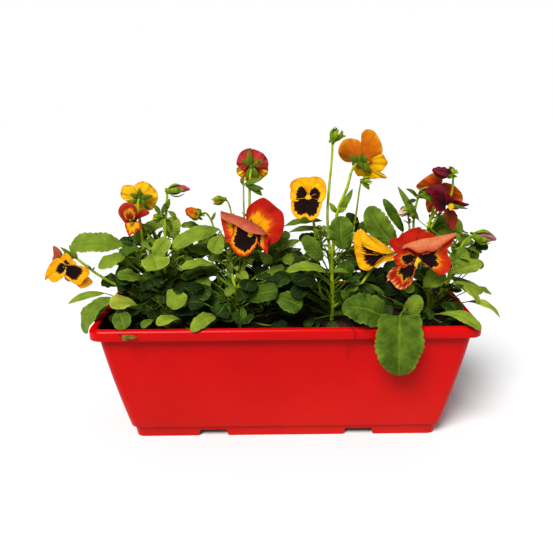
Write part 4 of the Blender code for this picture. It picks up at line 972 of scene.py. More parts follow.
def trough_finish(settings, name, specular):
    """Polypropylene, injection moulded: glossy, deep in colour, with a paler film low down that is dust
    and a painted floor reflection, and painted shade on the inner walls.
    """
    material, add, shader = new_finish(name, {"IOR": 1.49, "Specular IOR Level": specular})
    place = add("TexCoord")["Object"]
    height = add("SeparateXYZ", [place])[2]
    cloud = add("TexNoise", {"Vector": place, "Scale": DUST_AND_REFLECTION_CLOUDS, "Detail": 5.0})[0]
    speck = add("TexNoise", {"Vector": place, "Scale": DUST_SPECKS, "Detail": 2.0})[0]
    # The paler film, dust together with a painted reflection of the floor, thins out from the foot to two
    # thirds of the way up.
    low = add("MapRange", [height, 0.105, 0.015, 0.0, 1.0])[0]
    dust_and_reflection = add("Math", [low, cloud], operation="MULTIPLY")[0]
    grit = add("MapRange", [speck, 0.62, 0.74, 0.0, 0.3])[0]
    dust = add("Math", [grit, dust_and_reflection], operation="MULTIPLY")[0]
    dust_and_reflection = add("Math", [dust_and_reflection, 0.12, dust], operation="MULTIPLY_ADD")[0]
    tint = add("MapRange", [cloud, 0.3, 0.7, 0.92, 1.08])[0]
    red = add("HueSaturation", {"Value": tint, "Color": linear(settings.colour)})[0]
    colour = add("Mix", {0: dust_and_reflection, 6: red, 7: linear("B84A30")}, data_type="RGBA")[2]
    # Inside, where the face looks back at the middle, painted shade darkens it to near black.
    facing = add("NewGeometry")["Normal"]
    outward = add("VectorMath", [place, facing], operation="DOT_PRODUCT")["Value"]
    inside = add("MapRange", [outward, 0.0, -0.03, 0.0, 0.93])[0]
    colour = add("Mix", {0: inside, 6: colour, 7: linear("1E0A08")}, data_type="RGBA")[2]
    rough = add("MapRange", [dust_and_reflection, 0.0, 0.4, settings.roughness, settings.roughness + 0.22])[0]
    peel = add("TexNoise", {"Vector": place, "Scale": MOULD_WAVES, "Detail": 2.0})[0]
    bump = add("Bump", {"Height": peel, "Strength": 0.25, "Distance": 0.0006})[0]
    connect(shader, base_color=colour, roughness=rough, normal=bump)
    return material


def soil_finish():
    """Moist peat potting mix: near black fibres and crumbs, with a few paler bits."""
    material, add, shader = new_finish("moist_potting_mix", {"Specular IOR Level": 0.2})
    place = add("TexCoord")["Object"]
    lumps = add("TexNoise", {"Vector": place, "Scale": MIX_LUMPS, "Detail": 6.0})[0]
    bits = add("TexVoronoi", {"Vector": place, "Scale": MIX_BITS})[0]
    colour = add("ValToRGB", [lumps], ((0.3, "120B07"), (0.55, "2A1A10"), (0.72, "4A3220")))[0]
    pale = add("MapRange", [bits, 0.12, 0.05, 0.0, 0.35])[0]
    colour = add("Mix", {0: pale, 6: colour, 7: linear("8A7050")}, data_type="RGBA")[2]
    rough = add("MapRange", [lumps, 0.3, 0.7, 0.8, 0.98])[0]
    bump = add("Bump", {"Height": lumps, "Strength": 1.0, "Distance": 0.003})[0]
    connect(shader, base_color=colour, roughness=rough, normal=bump)
    return material


# Trough and soil ---------------------------------------------------------------------------


def rounded_ring(half_length, half_depth, radius, height, steps=CORNER_STEPS):
    """Points round a rectangle with round corners, at one height."""
    turns = np.radians(np.linspace(0, 90, steps + 1))
    ring = []
    for sign_x, sign_y, start in ((1, 1, 0), (-1, 1, 90), (-1, -1, 180), (1, -1, 270)):
        angles = turns + math.radians(start)
        x = sign_x * (half_length - radius) + radius * np.cos(angles)
        y = sign_y * (half_depth - radius) + radius * np.sin(angles)
        ring.append(np.stack([x, y, np.full_like(x, height)], axis=1))
    return np.concatenate(ring)


class TroughShape:
    """The rings that the trough and the soil inside it are lofted through."""

    def __init__(self, settings):
        self.length, self.depth = settings.length / MM, settings.depth / MM
        self.height, self.wall = settings.height / MM, settings.wall / MM
        self.floor = CHANNEL_HEIGHT + self.wall + FLOOR_CLEARANCE
        self.plinth_top = [side - PLINTH_STEP for side in self.body_half(PLINTH_HEIGHT)]

    def body_half(self, height):
        """Half the length and depth of the flared, slightly bulging wall at a height."""
        rise = (height - PLINTH_HEIGHT) / (self.height - PLINTH_HEIGHT)
        bulge = math.sin(math.pi * rise)
        half_length = self.length / 2 - RIM_WIDTH - END_FLARE * (1 - rise) + END_BULGE * bulge
        half_depth = self.depth / 2 - RIM_WIDTH - SIDE_FLARE * (1 - rise) + SIDE_BULGE * bulge
        return half_length, half_depth

    def rim_ring(self, inset, height, shrink=0.0):
        radius = max(CORNER_RADIUS - shrink, LEAST_CORNER_RADIUS)
        return rounded_ring(self.length / 2 - inset, self.depth / 2 - inset, radius, height)

    def wall_ring(self, height, inset, shrink=0.0):
        half_length, half_depth = self.body_half(height)
        radius = max(CORNER_RADIUS - WALL_CORNER_LESS - shrink, LEAST_CORNER_RADIUS)
        return rounded_ring(half_length - inset, half_depth - inset, radius, height)

    def plinth_ring(self, height, inset):
        draft = PLINTH_DRAFT * (1 - height / PLINTH_HEIGHT)
        half_length, half_depth = (side - draft - inset for side in self.plinth_top)
        radius = CORNER_RADIUS - PLINTH_CORNER_LESS - inset
        return rounded_ring(half_length, half_depth, radius, height)

    def rings(self):
        """From the underside, up the outside, over the rim and down the inside to the floor."""
        wall, top = self.wall, self.height
        roof = top - wall - RIM_ROOF_DROP
        shoulder = []
        for turn in range(0, 91, 10):
            inset = RIM_SHOULDER * (1 - math.cos(math.radians(turn)))
            drop = RIM_SHOULDER * (1 - math.sin(math.radians(turn)))
            shoulder.append(self.rim_ring(inset, top - drop, inset))
        outside = soften([
            self.plinth_ring(0.0, 0.0),
            self.plinth_ring(PLINTH_HEIGHT, 0.0),
            self.wall_ring(PLINTH_HEIGHT + PLINTH_LEDGE, 0.0),
            *[self.wall_ring(height, 0.0) for height in BULGE_HEIGHTS],
            self.wall_ring(roof, 0.0),
            self.rim_ring(wall, roof, wall),
            self.rim_ring(wall, top - RIM_DROP, wall),
            self.rim_ring(0.0, top - RIM_DROP),
            shoulder[0],
        ], OUTSIDE_ROUNDING)
        inside = soften([
            shoulder[-1],
            self.rim_ring(RIM_WIDTH - LIP_ROUND, top, LIP_CORNER_LESS),
            self.wall_ring(top - 1.5, wall - 0.6),
            self.wall_ring(top - 4.0, wall, wall),
            *[self.wall_ring(height, wall, wall) for height in reversed(BULGE_HEIGHTS)],
            self.wall_ring(PLINTH_HEIGHT + INNER_LEDGE, wall, wall),
            self.plinth_ring(PLINTH_HEIGHT + PLINTH_LEDGE, wall),
            self.plinth_ring(self.floor, wall),
        ], INSIDE_ROUNDING)
        return [*outside[:-1], *shoulder[:-1], *inside]

    def foot_blocks(self, side_gap):
        """(centre, half length, half depth) of the hollow inside each of the three feet."""
        half_channel = CHANNEL_FOOT / 2 + self.wall + side_gap
        end = self.plinth_top[0] - PLINTH_DRAFT - 2 * self.wall - side_gap
        half_depth = self.plinth_top[1] - PLINTH_DRAFT - 2 * self.wall - side_gap
        inner = CHANNEL_X + half_channel
        outer_half, outer_centre = (end - inner) / 2, (end + inner) / 2
        return [
            (-outer_centre, outer_half, half_depth),
            (0.0, CHANNEL_X - half_channel, half_depth),
            (outer_centre, outer_half, half_depth),
        ]


def soften(rings, distance):
    """Turns each inner ring of a loft into three, which round its corner off."""
    softened = [rings[0]]
    for before, here, after in zip(rings, rings[1:], rings[2:]):
        ends = []
        for other in (before, after):
            span = np.linalg.norm(other - here, axis=1, keepdims=True)
            ends.append(here + (other - here) * np.minimum(0.45, distance / span))
        softened += [ends[0], 0.25 * ends[0] + 0.5 * here + 0.25 * ends[1], ends[1]]
    softened.append(rings[-1])
    return softened


def loft(name, rings, material=None):
    """A closed skin through rings of equally many points, with its two ends filled."""
    count = len(rings[0])
    points = np.concatenate(rings) * MM
    number = np.arange(len(points)).reshape(len(rings), count)
    ahead = np.roll(number, -1, axis=1)
    faces = np.stack([number[:-1], ahead[:-1], ahead[1:], number[1:]], axis=2).reshape(-1, 4)
    mesh = bpy.data.meshes.new(name)
    ends = [number[0, ::-1].tolist(), number[-1].tolist()]
    mesh.from_pydata(points.tolist(), [], faces.tolist() + ends)
    if material:
        mesh.materials.append(material)
    return mesh


def block(name, half_length, half_depth, corner, low, high, centre=(0.0, 0.0)):
    """A helper object with rounded upright corners, to cut or add with."""
    shift = np.array((*centre, 0.0))
    rings = [rounded_ring(half_length, half_depth, corner, z, 6) + shift for z in (low, high)]
    return bpy.data.objects.new(name, loft(name, rings))


def with_booleans(name, mesh, steps):
    """The mesh after each (operation, helper objects) is carried out on it."""
    body = bpy.data.objects.new(name, mesh)
    bpy.context.scene.collection.objects.link(body)
    groups = []
    for operation, helpers in steps:
        group = bpy.data.collections.new(f"{name}_{operation.lower()}")
        bpy.context.scene.collection.children.link(group)
        for helper in helpers:
            group.objects.link(helper)
        modifier = body.modifiers.new(operation.title(), "BOOLEAN")
        modifier.operation = operation
        modifier.operand_type = "COLLECTION"
        modifier.collection = group
        modifier.solver = "EXACT"
        groups.append(group)
    result = finished_mesh(body)
    for group in groups:
        for helper in list(group.objects):
            bpy.data.objects.remove(helper)
        bpy.data.collections.remove(group)
    return result


def channel_cutters(shape):
    """Two drainage channels from front to back under the base, each with two drain holes."""
    cutters = []
    foot, roof = CHANNEL_FOOT / 2 * CHANNEL_SPREAD, CHANNEL_ROOF / 2
    for sign in (-1, 1):
        section = np.array([
            (-foot, -CUT_OVERLAP), (foot, -CUT_OVERLAP), (roof, CHANNEL_HEIGHT), (-roof, CHANNEL_HEIGHT),
        ])
        rings = [
            np.stack([section[:, 0] + sign * CHANNEL_X, np.full(4, y), section[:, 1]], axis=1)
            for y in (shape.depth, -shape.depth)
        ]
        cutters.append(bpy.data.objects.new("channel", loft("channel", rings)))
        for y in (-DRAIN_Y, DRAIN_Y):
            cutters.append(block(
                "drain", DRAIN_RADIUS, DRAIN_RADIUS, DRAIN_RADIUS - 0.01, 0.0, 2 * shape.floor,
                (sign * CHANNEL_X, y),
            ))
    return cutters


def foot_helpers(shape, side_gap, low, high):
    """Blocks that fill the hollows of the three feet."""
    return [
        block("foot", half_length, half_depth, FOOT_HOLLOW_CORNER, low, high, (centre, 0.0))
        for centre, half_length, half_depth in shape.foot_blocks(side_gap)
    ]


def soil_height(x, y):
    """The soil lies a little unevenly."""
    return SOIL_LEVEL + SOIL_WAVE * np.sin(x / 60.0) * np.cos(y / 50.0 + 0.6)


def with_side_points(ring):
    """A rounded ring with more points along its four straight sides."""
    corner = CORNER_STEPS + 1
    pieces = []
    for side in range(4):
        pieces.append(ring[side * corner:(side + 1) * corner])
        start, end = pieces[-1][-1], ring[(side + 1) * corner % len(ring)]
        steps = np.linspace(0, 1, SOIL_SIDE_STEPS[side % 2], endpoint=False)[1:, None]
        pieces.append(start + (end - start) * steps)
    return np.concatenate(pieces)


# Stems and leaves ----------------------------------------------------------------------------


def standing_points(points):
    """A route with its flower's name made a point, and its foot set on the soil."""
    points = list(points)
    if isinstance(points[-1], str):
        centre, facing, _ = FLOWERS[points[-1]]
        points[-1] = tuple(np.array(centre) - unit(facing) * (FIT_GAP + CALYX_LENGTH / 2))
    if points[0][2] > 0:
        return points
    x, y, _ = points[0]
    level = soil_height(x, y) + FIT_GAP
    return [(x, y, level), (x, y, level + 6), *points[1:]]


def stem_at(plant, height):
    """The main stem's middle and radius at a height."""
    foot_radius, end_radius, points = STEMS[plant][0]
    route = spline(standing_points(points), 200)
    number = int(np.argmin(np.abs(route[:, 2] - height)))
    share = number / (len(route) - 1)
    return route[number], foot_radius + (end_radius - foot_radius) * share


def towards_eye(points, forward):
    """Points moved along their own lines of sight, so that they look the same from in front."""
    return points + (EYE - points) * (forward / (points[..., 1] - EYE[1]))[..., None]


def bezier(knots, t):
    """Points on a cubic curve with four knots, at the places t from 0 to 1."""
    a, b, c, d = (np.asarray(knot, float) for knot in knots)
    t = t[:, None]
    s = 1 - t
    return a * s**3 + b * 3 * s * s * t + c * 3 * s * t * t + d * t**3


def blade_half_width(share, kind):
    """How wide a blade is at a share of its length, where its widest place is 1."""
    start, end, _ = BLADES[kind]
    widest = start / (start + end)
    return (share / widest) ** start * ((1 - share) / (1 - widest)) ** end


def add_leaf(skin, settings, root, heart, tip, width, face, arch, kind, tone, seed, rows, columns):
    """A stalk from the stem and a blade with scalloped edges, a fold and a few waves."""
    rng = random.Random(seed)
    root, heart, tip = (np.asarray(place, float) for place in (root, heart, tip))
    blade = tip - heart
    length = np.linalg.norm(blade)
    along = blade / length
    side = unit(np.cross(along, unit(face)))
    up = np.cross(side, along)
    count = max(3, round(length / settings.tooth_spacing * MM))
    rows = max(rows, count * (7 if columns > 7 else 5))
    share = np.linspace(0.0, 1.0, rows)
    # Rounded ends: the first and last sections are close together.
    share = 0.5 * share + 0.5 * (0.5 - 0.5 * np.cos(math.pi * share))
    half = blade_half_width(share, kind) * width / 2
    if kind == "lance":
        teeth = np.ones(rows)
    else:
        depth = settings.tooth_depth * (min(1.0, 32 / width) if kind == "heart" else 0.7)
        teeth = 1 - depth * (1 - np.abs(np.sin(math.pi * (count * share + 0.2))) ** 0.6)
    half = np.maximum(half * teeth, LEAST_HALF_WIDTH)
    middle = heart + blade * share[:, None] + up * (4 * arch * length * share * (1 - share))[:, None]
    bend = rng.uniform(-0.07, 0.07) * length
    middle = middle + side * (bend * np.sin(math.pi * share))[:, None]
    fold = rng.uniform(0.2, 0.5)
    curl = rng.uniform(0.2, 0.45)
    waves, phase = rng.uniform(1.5, 3.0), rng.uniform(0, FULL_TURN)
    across = np.linspace(-1, 1, columns)
    lobe = BLADES[kind][2] * length
    slope = unit(np.gradient(middle, axis=0))
    lift = unit(np.cross(side, slope))
    spread = across[None, :, None] * half[:, None, None] * side
    shape = np.abs(across)[None, :] * fold - across[None, :] ** 2 * curl
    wave = settings.ripple * across[None, :] ** 2 * np.sin(
        2 * math.pi * waves * share[:, None] + phase + 1.3 * np.sign(across)[None, :]
    )
    groove = -0.05 * np.exp(-(across / 0.12) ** 2)[None, :]
    relief = (shape + wave + groove) * half[:, None]
    grid = middle[:, None, :] + spread + lift[:, None, :] * relief[..., None]
    if lobe:
        back = np.abs(across)[None, :] * np.sin(np.pi * np.minimum(1, share[:, None] / 0.3)) * lobe
        grid = grid - along * back[..., None]
    skin.add_sheet(grid, LEAF_THICKNESS, tone, 0, None, share)
    stalk = np.linalg.norm(heart - root)
    out = unit((heart - root) * (1, 1, 0) + (0, 0, 1e-6))
    leave = unit(out * 0.8 + (0, 0, 0.6))
    arrive = unit(slope[0] * 0.6 + unit(heart - root))
    knots = (root, root + leave * stalk * 0.3, heart - arrive * stalk * 0.3, heart)
    route = bezier(knots, np.linspace(0, 1, 10))
    # The stalk runs on under the blade as its midrib, which thins out towards the tip.
    under_blade = slice(2, rows * 3 // 4, 4)
    rib = middle[under_blade] - lift[under_blade] * LEAF_THICKNESS
    radius = PETIOLE_RADIUS * min(1.0, 0.55 + width / 50)
    radii = [np.linspace(radius, radius * 0.9, 10), np.linspace(radius * 0.8, 0.25, len(rib))]
    skin.add_tube(np.concatenate([route, rib]), np.concatenate(radii), 7, tone, 1)


def stem_side(plant, height, heart, nudge=(0, 0, 0)):
    """A place on the side of the main stem, towards a leaf's heart. A nudge keeps it defined."""
    middle, radius = stem_at(plant, height)
    return middle + unit((np.array(heart, float) - middle) * (1, 1, 0) + nudge) * radius * 0.6


def stem_root(plant, heart):
    """A place on the plant's main stem that a leaf at that heart can spring from."""
    middle, _ = stem_at(plant, 0)
    reach = math.hypot(heart[0] - middle[0], heart[1] - middle[1])
    top = max(point[2] for point in standing_points(STEMS[plant][0][2]))
    height = min(max(132, heart[2] - 0.7 * reach), top - 20)
    return stem_side(plant, height, heart, (0, 1e-6, 0))


def add_filler_leaves(skin, settings, plant, number):
    """Inner leaves all round the stem. Every third one belongs to the crown."""
    rng = random.Random(f"{plant} inner leaves")
    for step in range(number):
        turn = math.radians(step * GOLDEN_ANGLE + rng.uniform(-20, 20))
        row = CROWN if step % 3 == 0 else SKIRT
        height = rng.uniform(*row["height"])
        middle, _ = stem_at(plant, height)
        if step % 5 == 1:
            middle = middle + BACK_ROW
        reach = rng.uniform(*row["reach"])
        out = np.array((math.cos(turn), math.sin(turn), rng.uniform(*row["rise"])))
        heart = np.array((*middle[:2], height)) + np.array((out[0], out[1] * 0.9, 0.0)) * reach
        length = rng.uniform(*row["length"])
        tip = heart + unit(out) * length
        for place in (heart, tip):
            place[0] = min(max(place[0], -row["ends"]), row["ends"])
            place[1] = min(max(place[1], row["front"]), row["back"])
        if np.linalg.norm(tip - heart) < LEAST_INNER_LEAF:
            continue
        face = (out[0] * 0.5, out[1] * 0.4 - 0.7, 1)
        kind = rng.choice(("oval", "spoon", "spoon"))
        width = length * rng.uniform(0.4, 0.85)
        # Skirt leaves take the dark tones of painted shade.
        tone = rng.uniform(*row["tone"])
        add_leaf(
            skin, settings, stem_root(plant, heart), heart, tip, width, face,
            rng.uniform(0.08, 0.2), kind, tone, rng.random(), 20, 7,
        )


def add_shoot(skin, settings, place, seed):
    """A leafy shoot tip: narrow young leaves springing up and out from one point."""
    rng = random.Random(seed)
    place = np.array(place, float)
    for step in range(SHOOT_LEAVES):
        turn = math.radians(GOLDEN_ANGLE * step)
        out = unit((math.cos(turn), math.sin(turn), 1.9 - 0.17 * step))
        length = rng.uniform(13, 18) + step * 0.9
        start = place + (0, 0, 8 - step * 1.1)
        add_leaf(
            skin, settings, start, start + out * 3.0, start + out * length, length * 0.32,
            (-out[0], -out[1], 1.2), 0.18, "lance", rng.uniform(0.5, 0.9), rng.random(), 14, 5,
        )


def add_stipules(skin, settings, plant):
    """Small narrow leaflets, three at a place, up each stem."""
    rng = random.Random(f"{plant} leaflets")
    low, high = STIPULE_HEIGHTS
    for *_, points in STEMS[plant]:
        route = spline(standing_points(points), 60)
        for share in STIPULE_PLACES:
            place = route[int(share * 59)]
            if not low < place[2] < high:
                continue
            turn = rng.uniform(0, FULL_TURN)
            for swing in STIPULE_SWINGS:
                angle = turn + swing
                out = np.array((math.cos(angle), math.sin(angle), rng.uniform(0.4, 1.2)))
                length = rng.uniform(7, 14)
                tip = place + unit(out) * length
                add_leaf(
                    skin, settings, place, place + unit(out) * 1.0, tip, length * 0.3,
                    (-out[0], -out[1], 1.0), 0.12, "lance", rng.uniform(0.4, 0.7), rng.random(), 10, 5,
                )


def stem_mesh(name, routes, material):
    """The stalks of one plant, made by Geometry Nodes from their routes."""
    curve = bpy.data.curves.new(name, "CURVE")
    curve.dimensions = "3D"
    for foot_radius, end_radius, points in routes:
        route = spline(standing_points(points), max(12, len(points) * 10))
        run = curve.splines.new("POLY")
        run.points.add(len(route) - 1)
        shares = np.linspace(0, 1, len(route))
        radii = foot_radius + (end_radius - foot_radius) * shares
        # Slight swellings where leaves join.
        radii *= 1 + JOINT_SWELLING * np.maximum(0, np.sin(shares * len(points) * math.pi)) ** 6
        run.points.foreach_set("co", np.column_stack([route * MM, np.ones(len(route))]).ravel())
        run.points.foreach_set("radius", radii)
    tree, add, given, (unit_radius, sides) = new_geometry_tree(
        "stalks_along_routes", Unit_radius="Float", Sides="Int",
    )
    circle = add("GeometryNodeCurvePrimitiveCircle", {
        "Resolution": given["Sides"], "Radius": given["Unit radius"],
    })
    tubes = add("GeometryNodeCurveToMesh", {
        "Curve": given["Geometry"], "Profile Curve": circle[0],
        "Scale": add("GeometryNodeInputRadius")[0], "Fill Caps": True,
    })
    smooth = add("GeometryNodeSetShadeSmooth", {"Geometry": tubes[0]})
    values = ((unit_radius, STALK_FULLNESS * MM), (sides, STALK_SIDES))
    return run_tree(tree, smooth[0], material, name, curve, values)


# Flowers and buds ----------------------------------------------------------------------------


def flower_sheet(flower, flat, relief):
    """Places a grid of (right, up) points on a flower, with its relief towards where it faces."""
    centre, facing, follow = FLOWERS[flower]
    lean = (facing[0] * flat[..., 0] + facing[2] * flat[..., 1]) / facing[1] * follow
    sign = -1.0 if facing[1] > 0 else 1.0
    points = np.array(centre, float) + np.stack(
        [flat[..., 0], np.zeros(flat.shape[:2]), flat[..., 1]], axis=2
    )
    grid = towards_eye(points, lean + sign * relief)
    normal = np.cross(np.gradient(grid, axis=1), np.gradient(grid, axis=0)).sum(axis=(0, 1))
    return grid if normal.dot(facing) > 0 else grid[:, ::-1]


def add_petal(skin, settings, flower, lift, cup, ruffle, outline, slot, seed):
    """A cupped petal with ruffles that grow towards its rim and a crease down its middle."""
    rng = random.Random(seed)
    rows, columns = 14, 45
    rim = spline(outline, columns)
    claw = (rim[0] + rim[-1]) / 2 * 0.5
    reach = np.linspace(0.05, 1.0, rows)
    side = np.linspace(0, 1, columns)
    flat = claw + (rim[None] - claw) * reach[:, None, None]
    phase = rng.uniform(0, FULL_TURN)
    waves = 3.0 + rng.random()
    ruffles = np.sin(2 * math.pi * waves * side + phase) + 0.5 * np.sin(
        2 * math.pi * (2.3 * waves) * side + 2 * phase
    )
    middle = 1 - (2 * side - 1) ** 2
    relief = (
        lift
        + cup * reach[:, None] ** 2 * (0.5 + 0.5 * middle)
        + settings.ruffle * ruffle * ruffles * reach[:, None] ** 3
        - 0.5 * np.exp(-((side - 0.5) / 0.07) ** 2) * np.sin(math.pi * reach)[:, None]
    )
    grid = flower_sheet(flower, flat, relief)
    skin.add_sheet(grid, settings.petal_thickness / MM, rng.random(), slot, side, reach)


def add_fold(skin, settings, flower, top_lift, low_lift, upper, lower, slot):
    """A petal's upper part, folded forward and down from its upper edge to its lower one."""
    columns, rows = 45, 10
    upper, lower = spline(upper, columns), spline(lower, columns)
    share = np.linspace(0, 1, rows)
    flat = upper + (lower - upper) * share[:, None, None]
    side = np.linspace(0, 1, columns)
    relief = top_lift + (low_lift - top_lift) * np.sin(share * math.pi / 2)[:, None]
    relief = relief + 0.6 * share[:, None] * np.sin(2 * math.pi * 3.2 * side)
    grid = flower_sheet(flower, flat, relief * np.ones(columns))
    # The fold shows its back, so it is turned over.
    skin.add_sheet(grid[:, ::-1], settings.petal_thickness / MM, 0.4, slot, side, share)


def add_sepal(skin, base, tip, width, face, tone, curl=0.1):
    """A pointed green sepal from the calyx, gently bent."""
    base, tip = np.asarray(base, float), np.asarray(tip, float)
    share = np.linspace(0, 1, 10)
    span = tip - base
    length = np.linalg.norm(span)
    side = unit(np.cross(span, face))
    up = np.cross(side, span / length)
    half = np.maximum(width / 2 * np.sin(math.pi * (0.12 + 0.88 * share)) ** 0.8, 0.2)
    middle = base + span * share[:, None] + up * (curl * length * np.sin(math.pi * share))[:, None]
    across = np.linspace(-1, 1, 5)
    relief = (0.35 * (1 - across ** 2))[None, :] * half[:, None]
    grid = middle[:, None, :] + side * (across[None, :, None] * half[:, None, None])
    grid = grid + up * relief[..., None]
    skin.add_sheet(grid, LEAF_THICKNESS, tone)


def add_calyx(skin, flower):
    """The green cup and five sepals behind a flower's petals, with its short spur."""
    centre, facing, _ = FLOWERS[flower]
    centre, axis = np.array(centre, float), unit(facing)
    cup = centre - axis * (FIT_GAP + CALYX_LENGTH / 2)
    away = facing[1] > 0
    route = [centre - axis * d for d in (0.3, 1.5, 3.0, 4.6, 5.6)]
    skin.add_tube(route, [2.6, 3.1, 2.8, 1.9, 1.0], 10, 0.45)
    rng = random.Random(flower)
    if flower in SEPALS:
        for right, up, width in SEPALS[flower]:
            start = centre + np.array((right * 0.06, -3.0 if away else 3.0, up * 0.06))
            end = towards_eye(centre + np.array((right, 0.0, up)), np.float64(3.4 if away else -1.0))
            add_sepal(skin, start, end, width, (0, -1, 0.1), rng.uniform(0.3, 0.7))
        return
    right = unit(np.cross((0, 0, 1), axis))
    up = np.cross(axis, right)
    for step in range(5):
        turn = math.radians(90 + 72 * step)
        out = right * math.cos(turn) + up * math.sin(turn)
        add_sepal(
            skin, cup + out * 1.5, cup + out * rng.uniform(12, 15) - axis * 0.5, 4.5, -axis,
            rng.uniform(0.3, 0.7),
        )


def add_bud(skin, shape, seed):
    """Rolled petals in a cup of sepals. The roll's twist shows as flutes."""
    seat, direction, length, thickness, green, _ = shape
    rng = random.Random(seed)
    axis = unit(direction)
    base = np.array(seat, float) + axis * 0.5
    share = np.linspace(0, 1, 14)
    bow = unit(np.cross(axis, (0, 1, 0.2)))
    bend = 0.06 * length * np.sin(math.pi * share)
    route = base + axis * (share * length)[:, None] + bow * bend[:, None]
    profile = np.sin(math.pi * (share * 0.84 + 0.1)) ** 0.8 * (1 + 0.09 * np.sin(share * 19))
    skin.add_tube(route, thickness / 2 * 0.85 * profile, 30, rng.random(), 1, 5, 0.24)
    skin.add_tube(base + axis * np.linspace(-1.0, length * 0.14, 6)[:, None],
                  thickness / 2 * np.array((0.3, 0.6, 0.8, 0.85, 0.7, 0.4)), 12, 0.5)
    side = unit(np.cross(axis, (0.1, 1, 0.3)))
    other = np.cross(axis, side)
    for step in range(5):
        turn = math.radians(72 * step + rng.uniform(-10, 10))
        out = side * math.cos(turn) + other * math.sin(turn)
        reach = length * green * rng.uniform(0.85, 1.1)
        flare = thickness * rng.uniform(0.34, 0.6)
        tip = base + axis * reach + out * flare
        start = base + out * thickness * 0.18
        add_sepal(skin, start, tip, thickness * 0.62, out, rng.uniform(0.35, 0.7), 0.2)
        ear = base - axis * thickness * 0.35 + out * thickness * 0.3
        add_sepal(skin, base + out * thickness * 0.2, ear, thickness * 0.3, out, 0.5, 0.1)


# Settings ------------------------------------------------------------------------------------

TROUGH_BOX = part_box("planter_trough")
LENGTH = {"subtype": "DISTANCE", "unit": "LENGTH"}
SHARE = {"subtype": "FACTOR", "min": 0, "max": 1}


class PlanterTroughSettings(bpy.types.PropertyGroup):
    length: FloatProperty(name="Length", description="Length over the rim", **LENGTH,
                          default=round(TROUGH_BOX[1][0] - TROUGH_BOX[0][0], 4))
    depth: FloatProperty(name="Depth", description="Depth over the rim", **LENGTH,
                         default=round(TROUGH_BOX[1][1] - TROUGH_BOX[0][1], 4))
    height: FloatProperty(name="Height", description="Height of the rim", **LENGTH,
                          default=round(TROUGH_BOX[1][2] - TROUGH_BOX[0][2], 4))
    wall: FloatProperty(name="Wall", description="Thickness of the moulded wall", default=0.0022, **LENGTH)
    colour: FloatVectorProperty(name="Colour", description="Colour of the plastic", size=3,
                                subtype="COLOR_GAMMA", min=0, max=1, default=(0.67, 0.008, 0.008))
    roughness: FloatProperty(name="Roughness", description="Roughness of the clean plastic",
                             default=0.3, **SHARE)


class PlanterSoilSettings(bpy.types.PropertyGroup):
    unevenness: FloatProperty(name="Unevenness", description="Height of the lumps in the mix",
                              default=0.0025, **LENGTH)
    crumb: FloatProperty(name="Crumb size", description="Radius of the largest loose crumbs",
                         default=0.0022, **LENGTH)
    density: FloatProperty(name="Crumb density", description="Loose crumbs on a square metre",
                           default=42000.0)


class PlanterPlantSettings(bpy.types.PropertyGroup):
    tooth_spacing: FloatProperty(name="Tooth spacing", default=0.0065, **LENGTH,
                                 description="From one scallop of a leaf's edge to the next")
    tooth_depth: FloatProperty(name="Tooth depth", default=0.16, **SHARE,
                               description="Depth of a scallop as a share of the half width")
    ripple: FloatProperty(name="Ripple", default=0.12, **SHARE,
                          description="Height of the waves in a leaf's edge as a share of its half width")
    inner_leaves: IntProperty(name="Inner leaves", default=72,
                              description="Inner leaves tried on each plant")


class PlanterFlowerSettings(bpy.types.PropertyGroup):
    petal_thickness: FloatProperty(name="Petal thickness", description="Thickness of a petal",
                                   default=0.0005, **LENGTH)
    ruffle: FloatProperty(name="Ruffle", description="Strength of the waves in the petals' rims",
                          subtype="FACTOR", default=1.0)


class PlanterStageSettings(bpy.types.PropertyGroup):
    lens: FloatProperty(name="Lens", description="Focal length on a 36 mm sensor", default=40.66)
    pitch: FloatProperty(name="Pitch", description="How far the camera looks down, in degrees",
                         default=17.15)
    roll: FloatProperty(name="Roll", description="How far the camera leans, in degrees", default=0.62)
    key_power: FloatProperty(name="Key light", description="Strength of the main soft light",
                             default=5.4)
    sky: FloatProperty(name="Sky", description="Strength of the even light from all round",
                       default=0.6)
    zenith: FloatProperty(name="Zenith", description="Strength of the light from overhead",
                          default=0.35)


# Operators -----------------------------------------------------------------------------------


class PLANTER_OT_trough(bpy.types.Operator):
    """Mould the trough with its rolled rim, foot channels and drain holes"""

    bl_idname = "planter.trough"
    bl_label = "Trough"

    def execute(self, context):
        settings = context.scene.planter_trough
        shape = TroughShape(settings)
        outside = trough_finish(settings, "moulded_polypropylene", 0.09)
        hollows = foot_helpers(shape, 0.0, shape.wall, shape.floor + CUT_OVERLAP)
        mesh = with_booleans("moulded_trough", loft("moulded_trough", shape.rings(), outside), [
            ("DIFFERENCE", channel_cutters(shape) + hollows),
        ])
        mesh.shade_smooth()
        mesh.set_sharp_from_angle(angle=math.radians(TROUGH_SHARP_ANGLE))
        # The inner walls, darkened by painted shade, and the scuffed tops of the end rims don't shine.
        mesh.materials.append(trough_finish(settings, "matt_polypropylene", 0.0))
        for face in mesh.polygons:
            x, _, z = face.center / MM
            inner = z > shape.floor and face.center.dot(face.normal) < INWARD_FACING
            end_rim = face.normal.z > 0.3 and abs(x) > shape.length / 2 - END_RIM_WIDTH
            if inner or end_rim and z > END_RIM_HEIGHT:
                face.material_index = len(mesh.materials) - 1
        add_piece("moulded_trough", mesh, ["planter_trough"])
        return {"FINISHED"}


